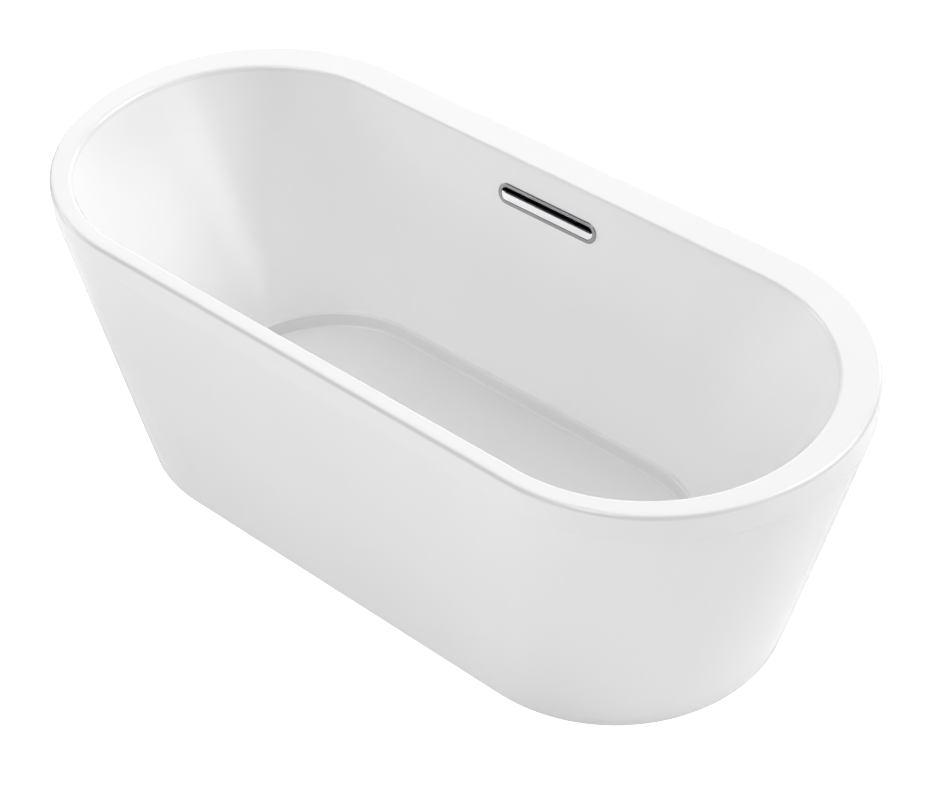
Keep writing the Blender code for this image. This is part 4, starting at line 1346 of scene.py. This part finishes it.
# ---- drain -------------------------------------------------------------------------------------------
@dataclass
class Drain:
    """The press-to-open waste in the floor, with its washers and body."""

    basin: Basin
    steps: int = 96

    def build(self, builder: Builder) -> None:
        """Make the flange, stopper, washers and body.

        Args:
            builder: Makes and dresses the pieces.
        """
        seat, at = self.basin.drain_seat, Matrix.Translation((0, self.basin.drain_y, 0))
        bath, stopper = Body.BATH.value, Body.STOPPER.value
        flange = [(0.0215, seat + 0.0045), (0.0340, seat + 0.0045), (0.0360, seat + 0.0035),
                  (0.0360, seat + 0.0018),
                  (0.0235, seat + 0.0018), (0.0235, 0.0840), (0.0205, 0.0840), (0.0205, seat + 0.0030)]
        builder.piece("waste_flange", turned(softened(flange, 0.0012, 4), self.steps), Slot.CHROME, bath,
                      ["drain_flange"], at)
        self.build_strainer(builder, at)
        under = seat + 0.0048
        cap = [(0, under + 0.0058), *[(0.0265 * s / 10,
                                       under + 0.0058 - 0.0032 * (s / 10) ** 2.2) for s in range(1, 11)],
               (0.0273, under + 0.0018), (0.0275, under + 0.0010), (0.0273, under + 0.0003), (0.0268, under),
               (0, under)]
        builder.piece("stopper_dome", turned(cap, self.steps), Slot.CHROME, stopper, ["stopper_cap"], at,
                      smooth=50)
        seal = [(0.0120, under - 0.0003), (0.0185, under - 0.0003), (0.0198, under - 0.0016),
                (0.0185, under - 0.0030),
                (0.0120, under - 0.0030)]
        builder.piece("stopper_washer", turned(softened(seal, 0.0008), self.steps), Slot.RUBBER, stopper,
                      ["stopper_seal"], at)
        below = seat - self.basin.acrylic
        body = [(0.0240, below - 0.0043), (0.0370, below - 0.0043), (0.0370, below - 0.0090),
                (0.0290, below - 0.0110),
                (0.0290, 0.0750), (0.0215, 0.0700), (0.0215, 0.0614), (0.0185, 0.0614), (0.0185, 0.0780),
                (0.0240, 0.0820)]
        builder.piece("waste_body", turned(softened(body, 0.0008), self.steps, self.knurl), Slot.BRASS, bath,
                      ["drain_body"], at)
        washer = [(0.0262, below - 0.0003), (0.0370, below - 0.0003), (0.0370, below - 0.0040),
                  (0.0262, below - 0.0040)]
        builder.piece("waste_washer", turned(softened(washer, 0.0008), self.steps), Slot.RUBBER, bath,
                      ["body_gasket"], at)
        builder.dress(Slot.RUBBER, "flange_gasket")
        builder.dress(Slot.BRASS, "stopper_plunger", "stopper_barrel")
        builder.dress(Slot.ZINC_STEEL, "stopper_spring")

    @staticmethod
    def knurl(radius: float, height: float, angle: float) -> float:
        """Two flats' worth of spanner lugs on the body's widest band."""
        on_band = radius > 0.0355 and height > 0.0985
        return -0.0012 * (0.5 + 0.5 * math.cos(8 * angle)) ** 6 if on_band else 0.0

    def build_strainer(self, builder: Builder, at: Matrix) -> None:
        """Make the cross under the stopper, which keeps large things out of the pipe.

        Args:
            builder: Makes and dresses the pieces.
            at: The drain's own frame.
        """
        top, foot, middle = 0.0880, 0.0850, 0.0865
        hub_profile = [(0.0020, top), (0.0075, top), (0.0075, foot), (0.0020, foot)]
        hub = turned(softened(hub_profile, 0.0005), 48)
        builder.piece("waste_strainer_hub", hub, Slot.CHROME, Body.BATH.value, matrix=at)
        for number, degrees in enumerate((30, 150, 270), 1):
            ends = [Vector((x, 0, middle)) for x in (0.0055, 0.0220)]
            spoke = swept(ends, box_section(0.0030, 0.0028, 0.0008), None, Vector((0, 0, 1)))
            turn = Matrix.Rotation(math.radians(degrees), 4, "Z")
            builder.piece(f"waste_strainer_arm_{number}", spoke, Slot.CHROME, Body.BATH.value,
                          matrix=at @ turn)


# ---- pipes -------------------------------------------------------------------------------------------
@dataclass
class Pipes:
    """The tee under the drain, its tail, and the pipe that brings the overflow down to it."""

    overflow: Overflow
    tee_z: float = 0.036
    outlet_x: float = 0.070
    outlet_depth: float = -0.0315
    radius: float = 0.0145
    wall: float = 0.002
    bend: float = 0.045
    steps: int = 64

    def build(self, builder: Builder) -> None:
        """Make the pipes and their nuts.

        Args:
            builder: Makes and dresses the pieces.
        """
        tee_at = Vector((0, self.overflow.basin.drain_y, self.tee_z))
        start = self.overflow.place @ Vector((self.outlet_x, -0.0280, self.outlet_depth))
        fall = -(self.overflow.place.to_3x3() @ Vector((0, 1, 0)))
        corner = start + fall * ((start.z - self.tee_z) / -fall.z)
        heading = (corner - tee_at).normalized()
        self.build_tee(builder, tee_at, heading)
        route = bent_route(start, corner, tee_at + heading * 0.036, self.bend, 28)
        outer = arc((0, 0), self.radius, 0, 360, self.steps)[:-1]
        inner = arc((0, 0), self.radius - self.wall, 0, 360, self.steps)[:-1]
        pipe = swept(route, outer, inner, fall.cross(heading).normalized())
        bmesh.ops.recalc_face_normals(pipe, faces=pipe.faces)
        builder.piece("overflow_down_pipe", pipe, Slot.PIPE_PLASTIC, Body.BATH.value, ["overflow_pipe"])
        turn = heading.to_track_quat("Z", "Y").to_matrix().to_4x4()
        down = fall.to_track_quat("Z", "Y").to_matrix().to_4x4()
        for name, matrix in (("upper", Matrix.Translation(start + fall * 0.0250) @ down),
                             ("lower", Matrix.Translation(tee_at + heading * 0.0560) @ turn)):
            builder.piece(f"overflow_ring_nut_{name}", self.ring_nut(), Slot.PIPE_PLASTIC, Body.BATH.value,
                          [f"overflow_nut_{name}"], matrix)

    def ring_nut(self) -> bmesh.types.BMesh:
        """A screwed ring with grips round it.

        Returns:
            Its skin.
        """
        radius = self.radius
        profile = [(radius + 0.0005, 0.0110), (radius + 0.0050, 0.0110), (radius + 0.0070, 0.0090),
                   (radius + 0.0070, -0.0100), (radius + 0.0062, -0.0110), (radius + 0.0040, -0.0110),
                   (radius + 0.0040, 0.0060), (radius + 0.0005, 0.0080)]
        return turned(softened(profile, 0.0006), 144, lambda r, z, a: self.grip(r - radius - 0.0055, a, 18))

    @staticmethod
    def grip(over: float, angle: float, count: int) -> float:
        """How much a grip's hollow takes off the radius, by how far the surface is over the grip's root."""
        return -min(0.0009, over) * (0.5 + 0.5 * math.cos(count * angle)) ** 2 if over > 0 else 0.0

    def build_tee(self, builder: Builder, at: Vector, heading: Vector) -> None:
        """Make the tee, its nut and its tail.

        Args:
            builder: Makes and dresses the pieces.
            at: The tee's centre.
            heading: The direction of its branch.
        """
        bath, place = Body.BATH.value, Matrix.Translation(at)
        body = softened([(0, 0.0250), (0.0260, 0.0250), (0.0260, 0.0130), (0.0248, 0.0110), (0.0248, -0.0120),
                         (0.0260, -0.0135), (0.0260, -0.0180), (0, -0.0180)], 0.0012, closed=False)
        turn = place @ heading.to_track_quat("Z", "Y").to_matrix().to_4x4()
        branch = softened([(0, 0.0540), (0.0179, 0.0540), (0.0179, 0.0430), (0.0172, 0.0420),
                           (0.0172, 0.0100),
                           (0, 0.0100)], 0.0010, closed=False)
        tee = builder.piece("waste_tee_body", turned(body, self.steps), Slot.PIPE_PLASTIC, bath,
                            ["waste_tee"], place)
        joined = builder.cutter(turned(branch, self.steps), turn)
        bore = builder.cutter(turned([(0, 0.05), (0.0196, 0.05), (0.0196, -0.05), (0, -0.05)], self.steps),
                              place)
        side_bore = builder.cutter(turned([(0, 0.08), (0.0150, 0.08), (0.0150, 0.012), (0, 0.012)],
                                          self.steps), turn)
        tee.parent = None
        tee.matrix_world = place
        builder.combine(tee, [joined], "UNION")
        builder.combine(tee, [bore, side_bore])
        builder.smooth(tee, 30)
        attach(tee, bath)
        centre = Matrix.Translation((0, at.y, 0))
        nut = [(0.0224, 0.0685), (0.0290, 0.0685), (0.0325, 0.0670), (0.0325, 0.0566), (0.0318, 0.0560),
               (0.0270, 0.0560),
               (0.0270, 0.0637), (0.0224, 0.0650)]
        skin = turned(softened(nut, 0.0007), 192, lambda r, z, a: self.grip(r - 0.0300, a, 24))
        builder.piece("waste_ring_nut", skin, Slot.PIPE_PLASTIC, bath, ["tee_nut"], centre)
        tail = [(0.0172, 0.0320), (0.0191, 0.0320), (0.0191, 0.0120), (0.0172, 0.0120)]
        builder.piece("waste_tail", turned(softened(tail, 0.0005), self.steps), Slot.PIPE_PLASTIC, bath,
                      ["tail_pipe"],
                      centre)


# ---- support -----------------------------------------------------------------------------------------
@dataclass
class Support:
    """The board under the basin, the steel frame, and the brackets that hold the skirt's foot."""

    basin: Basin
    board: Oval = Oval(0.960, 0.350, -0.020)
    board_hole: float = 0.064
    tube: float = 0.025
    tube_wall: float = 0.0015
    corner: float = 0.003
    stud_x: Sequence[float] = (-0.440, 0.0, 0.440)
    stud_hole: float = 0.0065

    def build(self, builder: Builder) -> None:
        """Make the board, the rails, their caps and the brackets.

        Args:
            builder: Makes and dresses the pieces.
        """
        self.build_board(builder)
        for side in ("front", "back"):
            self.build_rail(builder, f"frame_rail_{side}", along_x=True)
            for end in ("left", "right"):
                self.build_cap(builder, f"rail_cap_{side}_{end}")
        for number in range(1, 5):
            self.build_rail(builder, f"frame_cross_rail_{number}", along_x=False)
            self.build_bracket(builder, number)
        builder.dress(Slot.TIMBER, "rim_batten")

    def build_board(self, builder: Builder) -> None:
        """Make the pressed board, its arrises just broken.

        Args:
            builder: Makes and dresses the pieces.
        """
        low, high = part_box("base_board")
        edge, rings = 0.0008, []
        for z, inset in ((low.z, edge), (low.z + edge, 0.0), (high.z - edge, 0.0), (high.z, edge)):
            rings.append(self.board.ring(z, -inset))
        for z, inset in ((high.z, edge), (high.z - edge, 0.0), (low.z + edge, 0.0), (low.z, edge)):
            rings.append(round_ring(self.board_hole + inset, z, 0.0, self.basin.drain_y))
        builder.piece("support_board", lofted(rings, wrap=True), Slot.BOARD, Body.BATH.value, ["base_board"])

    def build_rail(self, builder: Builder, node: str, along_x: bool) -> None:
        """Make a square tube where a packed rail is.

        Args:
            builder: Makes and dresses the pieces.
            node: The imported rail.
            along_x: Whether it runs along the bath, and so has the feet's holes.
        """
        low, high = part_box(node)
        middle, half = (low + high) / 2, (high - low) / 2
        axis = Vector((half.x, 0, 0)) if along_x else Vector((0, half.y, 0))
        outer = box_section(self.tube, self.tube, self.corner)
        bore = self.tube - 2 * self.tube_wall
        inner = box_section(bore, bore, self.corner - self.tube_wall)
        tube = swept([middle - axis, middle + axis], outer, inner, Vector((0, 0, 1)))
        bmesh.ops.recalc_face_normals(tube, faces=tube.faces)
        rail = builder.piece(node.replace("frame", "steel"), tube, Slot.ZINC_STEEL, Body.BATH.value, [node])
        if along_x:
            for x in self.stud_x:
                drill = turned([(0, 0.03), (self.stud_hole, 0.03), (self.stud_hole, -0.03), (0, -0.03)], 32)
                builder.combine(rail, [builder.cutter(drill, Matrix.Translation((x, middle.y, middle.z)))])
            builder.smooth(rail, 30)
        else:
            self.build_welds(builder, node, middle, half)

    def build_welds(self, builder: Builder, node: str, middle: Vector, half: Vector) -> None:
        """Make the two weld beads of a cross rail, as rows of overlapping ripples along its top edges."""
        for name, side in (("front", -1), ("back", 1)):
            route = [middle + Vector((x, side * (half.y + 0.0002), half.z - 0.0004))
                     for x in (-0.0115 + 0.023 * step / 46 for step in range(47))]
            bead = swept(route, arc((0, 0), 0.0016, 0, 360, 12)[:-1], None, Vector((0, 0, 1)))
            for vert in bead.verts:
                ripple = 1.0 + 0.18 * math.sin((vert.co.x - middle.x) * 2 * math.pi / 0.0021)
                centre = Vector((vert.co.x, middle.y + side * (half.y + 0.0002), middle.z + half.z - 0.0004))
                vert.co = centre + (vert.co - centre) * ripple
            builder.piece(f"weld_{node[-1]}_{name}", bead, Slot.ZINC_STEEL, Body.BATH.value)

    def build_cap(self, builder: Builder, node: str) -> None:
        """Make a rail's plastic end cap, cushioned at its edges.

        Args:
            builder: Makes and dresses the pieces.
            node: The cap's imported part.
        """
        low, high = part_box(node)
        middle, half = (low + high) / 2, (high - low) / 2
        outward = 1 if middle.x > 0 else -1
        rings = []
        for share, inset in ((-1.0, 0.0), (0.0, 0.0), (0.5, 0.0004), (0.85, 0.0012), (1.0, 0.0026)):
            section = box_section(2 * (half.y - inset), 2 * (half.z - inset), self.corner - min(inset, 0.002))
            x = middle.x + outward * half.x * share
            rings.append([Vector((x, middle.y + outward * a, middle.z + b)) for a, b in section])
        builder.piece(node.replace("rail_cap", "end_cap"), lofted(rings, cap_first=True, cap_last=True),
                      Slot.BLACK_PLASTIC, Body.BATH.value, [node])

    def build_bracket(self, builder: Builder, number: int) -> None:
        """Make a bent steel strip from a rail down to the skirt's foot.

        Args:
            builder: Makes and dresses the pieces.
            number: The bracket's number.
        """
        low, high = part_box(f"skirt_bracket_{number}")
        strip, thick = high.x - low.x, 0.002
        front = (low.y + high.y) / 2 < self.basin.drain_y
        near, far, sign = (high.y, low.y, -1) if front else (low.y, high.y, 1)
        upright = far - sign * 0.026
        x = (low.x + high.x) / 2
        top, foot = high.z - thick / 2, low.z + thick / 2
        upper = bent_route(Vector((x, near, top)), Vector((x, upright, top)),
                           Vector((x, upright, (top + foot) / 2)), 0.005, 8)
        lower = bent_route(Vector((x, upright, (top + foot) / 2)), Vector((x, upright, foot)),
                           Vector((x, far, foot)), 0.005, 8)
        skin = swept(upper[:-1] + lower[1:], box_section(thick, strip, 0.0007, 3), None, Vector((1, 0, 0)))
        bmesh.ops.recalc_face_normals(skin, faces=skin.faces)
        builder.piece(f"skirt_strap_{number}", skin, Slot.ZINC_STEEL, Body.BATH.value,
                      [f"skirt_bracket_{number}"])


@dataclass
class Feet:
    """The screw feet: a plastic pad, a threaded stud and a nut under the rail, six times."""

    stud_radius: float = 0.006
    stud_top: float = 0.083
    pitch: float = 0.00175
    pad_radius: float = 0.024
    pad_height: float = 0.012
    nut_across: float = 0.019

    def build(self, builder: Builder) -> None:
        """Make the feet.

        Args:
            builder: Makes and dresses the pieces.
        """
        skins = {"pad": self.pad(), "stud": self.stud(), "nut": self.nut()}
        meshes = {}
        for kind, skin in skins.items():
            meshes[kind] = bpy.data.meshes.new(f"foot_{kind}_shape")
            skin.to_mesh(meshes[kind])
            skin.free()
        for number in range(1, 7):
            low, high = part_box(f"foot_pad_{number}")
            spot = Matrix.Translation(((low.x + high.x) / 2, (low.y + high.y) / 2, 0))
            foot = f"{Body.FOOT.value}{number}"
            builder.piece(f"pad_{number}", meshes["pad"], Slot.BLACK_PLASTIC, foot, [f"foot_pad_{number}"],
                          spot)
            builder.piece(f"stud_{number}", meshes["stud"], Slot.ZINC_STEEL, foot, [f"foot_stud_{number}"],
                          spot)
            height = Matrix.Translation((0, 0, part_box(f"foot_nut_{number}")[0].z))
            builder.piece(f"nut_{number}", meshes["nut"], Slot.ZINC_STEEL, Body.BATH.value,
                          [f"foot_nut_{number}"],
                          spot @ height, smooth=25)

    def pad(self) -> bmesh.types.BMesh:
        """A round pad with a scalloped edge and a socket for the stud.

        Returns:
            Its skin.
        """
        wide, socket = self.pad_radius, self.stud_radius + 0.0012
        profile = [(socket, self.pad_height), (0.0125, self.pad_height), (wide - 0.001, 0.0050),
                   (wide, 0.0035), (wide, 0.0),
                   (0.0010, 0.0), (0.0010, 0.0045), (socket, 0.0045)]
        return turned(softened(profile, 0.0009), 160, self.scallop)

    @staticmethod
    def scallop(radius: float, _z: float, angle: float) -> float:
        """How far the pad's edge is drawn in at an angle, which leaves its middle round."""
        return -0.0007 * (0.5 + 0.5 * math.cos(20 * angle)) ** 2 if radius > 0.020 else 0.0

    def stud(self) -> bmesh.types.BMesh:
        """A screw with a collar near its foot, its thread wound as a helix.

        Returns:
            Its skin.
        """
        root, collar = self.stud_radius - 0.0011, 0.0095
        rise, turns = self.pitch / 8, []
        height = self.stud_top - 0.0010
        while height > 0.0215:
            turns.append((self.stud_radius, height))
            height -= rise
        profile = [(0, self.stud_top), (root - 0.0008, self.stud_top), *turns, (root, 0.0212),
                   (collar - 0.0006, 0.0210),
                   (collar, 0.0204), (collar, 0.0150), (collar - 0.0006, 0.0144), (root + 0.0008, 0.0140),
                   (root + 0.0008, 0.0055), (root, 0.0050), (0, 0.0050)]

        def thread(radius: float, z: float, angle: float) -> float:
            """How deep the thread's groove is at a place.

            Args:
                radius: The place's radius.
                z: The place's height.
                angle: The place's angle.

            Returns:
                How far to move the surface out.
            """
            if radius != self.stud_radius:
                return 0.0
            phase = (z / self.pitch - angle / (2 * math.pi)) % 1.0
            fade = min(1.0, (self.stud_top - z) / (2 * self.pitch))
            return -0.0011 * abs(2 * phase - 1) - 0.0008 * (1 - fade)

        return turned(profile, 40, thread)

    def nut(self) -> bmesh.types.BMesh:
        """A hexagon nut with turned-down corners, standing on z = 0.

        Returns:
            Its skin.
        """
        low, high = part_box("foot_nut_1")
        tall, flat, bore = high.z - low.z, self.nut_across / 2, self.stud_radius + 0.0005
        corner = flat / math.cos(math.pi / 6)

        def hexagon(radius: float, z: float, angle: float) -> float:
            """Cut a round blank down to its six flats.

            Args:
                radius: The place's radius.
                z: The place's height; not used.
                angle: The place's angle.

            Returns:
                How far to move the surface out.
            """
            if radius < flat * 0.9:
                return 0.0
            off = (angle + math.pi / 6) % (math.pi / 3) - math.pi / 6
            return min(radius, flat / math.cos(off)) - radius

        profile = [(bore + 0.0006, tall), (flat * 0.97, tall), (corner, tall - 0.0014), (corner, 0.0014),
                   (flat * 0.97, 0.0),
                   (bore + 0.0006, 0.0), (bore, 0.0006), (bore, tall - 0.0006)]
        return turned(profile, 96, hexagon)


# ---- stage -------------------------------------------------------------------------------------------
@dataclass(frozen=True)
class Softbox:
    """A soft patch of light on the studio's dome."""

    azimuth: float
    elevation: float
    sharpness: float
    strength: float

    @property
    def direction(self) -> Vector:
        """The way to the patch. Azimuth 0 is -Y and 90 is +X."""
        a, e = math.radians(self.azimuth), math.radians(self.elevation)
        return Vector((math.sin(a) * math.cos(e), -math.cos(a) * math.cos(e), math.sin(e)))


@dataclass
class Studio:
    """The pale floor, the soft light and the camera."""

    softboxes: Sequence[Softbox] = (
        Softbox(142.0, 34.0, 40.0, 7.4),
        Softbox(144.0, 56.0, 40.0, 7.9),
        Softbox(0.0, 56.0, 40.0, 8.2),
        Softbox(0.0, 12.0, 40.0, 2.4),
        Softbox(90.0, 12.0, 40.0, 2.6),
        Softbox(180.0, 12.0, 40.0, 3.6),
        Softbox(292.0, 12.0, 40.0, 6.8),
        Softbox(225.0, 8.0, 8.0, 1.9),
    )
    floor_glow: float = 0.09
    azimuth: float = 44.32
    elevation: float = 40.23
    distance: float = 4.4495
    target: Vector = field(default_factory=lambda: Vector((0.0311, 0.0154, 0.2788)))
    roll: float = -3.27
    lens: float = 93.9

    def build(self) -> None:
        """Make the stage."""
        self.build_floor()
        self.build_light()
        self.build_camera()
        bpy.context.scene.view_settings.view_transform = "Standard"

    def build_floor(self) -> None:
        """A wide pale floor that glows a little, so that it stays clean under the bath."""
        skin = bmesh.new()
        bmesh.ops.create_grid(skin, x_segments=8, y_segments=8, size=60.0)
        data = bpy.data.meshes.new("studio_floor")
        skin.to_mesh(data)
        skin.free()
        floor = bpy.data.objects.new("studio_floor", data)
        bpy.context.scene.collection.objects.link(floor)
        material = bpy.data.materials.new("pale_floor")
        material.use_nodes = True
        shader = material.node_tree.nodes["Principled BSDF"]
        shader.inputs["Base Color"].default_value = (0.82, 0.82, 0.82, 1.0)
        shader.inputs["Roughness"].default_value = 0.9
        shader.inputs["Specular IOR Level"].default_value = 0.0
        shader.inputs["Emission Color"].default_value = (1.0, 1.0, 1.0, 1.0)
        graph = Graph(material.node_tree)
        seen = graph.add("LightPath").outputs["Is Camera Ray"]
        graph.tree.links.new(graph.remap(seen, 0.0, 1.0, self.floor_glow, 1.0),
                             shader.inputs["Emission Strength"])
        below = graph.add("NewGeometry").outputs["Backfacing"]
        graph.tree.links.new(graph.math("SUBTRACT", 1.0, below), shader.inputs["Alpha"])
        data.materials.append(material)

    def build_light(self) -> None:
        """A dome of soft light patches, plain white where the camera sees it."""
        world = bpy.data.worlds.new("studio_dome")
        world.use_nodes = True
        bpy.context.scene.world = world
        graph = Graph(world.node_tree)
        way = graph.add("TexCoord").outputs["Generated"]
        total = None
        for box in self.softboxes:
            near = graph.add("VectorMath", {"operation": "DOT_PRODUCT"}, i0=way,
                             i1=box.direction).outputs["Value"]
            fall = graph.math("MULTIPLY", graph.math("SUBTRACT", near, 1.0), box.sharpness)
            patch = graph.math("MULTIPLY", graph.math("EXPONENT", fall), box.strength)
            total = patch if total is None else graph.math("ADD", total, patch)
        seen = graph.add("LightPath").outputs["Is Camera Ray"]
        strength = graph.math("ADD", graph.math("MULTIPLY", total, graph.math("SUBTRACT", 1.0, seen)), seen)
        background = world.node_tree.nodes["Background"]
        background.inputs["Color"].default_value = (1.0, 1.0, 1.0, 1.0)
        graph.tree.links.new(strength, background.inputs["Strength"])

    def build_camera(self) -> None:
        """The camera, looking down on the bath from its front right."""
        data = bpy.data.cameras.new("studio_camera")
        data.lens = self.lens
        data.sensor_width = 36.0
        data.clip_start, data.clip_end = 0.1, 200.0
        camera = bpy.data.objects.new("studio_camera", data)
        bpy.context.scene.collection.objects.link(camera)
        back = Softbox(self.azimuth, self.elevation, 0.0, 0.0).direction
        across = Vector((0, 0, 1)).cross(back).normalized()
        turn = Matrix((across, back.cross(across), back)).transposed().to_4x4()
        roll = Matrix.Rotation(math.radians(self.roll), 4, "Z")
        camera.matrix_world = Matrix.Translation(self.target + back * self.distance) @ turn @ roll
        bpy.context.scene.camera = camera


def main() -> None:
    """Build every sub-assembly in order."""
    builder = Builder(Finishes())
    basin = Basin()
    overflow = Overflow(basin)
    parts = (basin, Skirt(basin), overflow, Drain(basin), Pipes(overflow), Support(basin), Feet())
    for part in parts:
        before = builder.count
        part.build(builder)
        LOG.info("%s: %d pieces", type(part).__name__, builder.count - before)
    Studio().build()
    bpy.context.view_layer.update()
    LOG.info("%d pieces in all", builder.count)


if __name__ == "__main__":
    logging.basicConfig(level=logging.INFO)
    main()
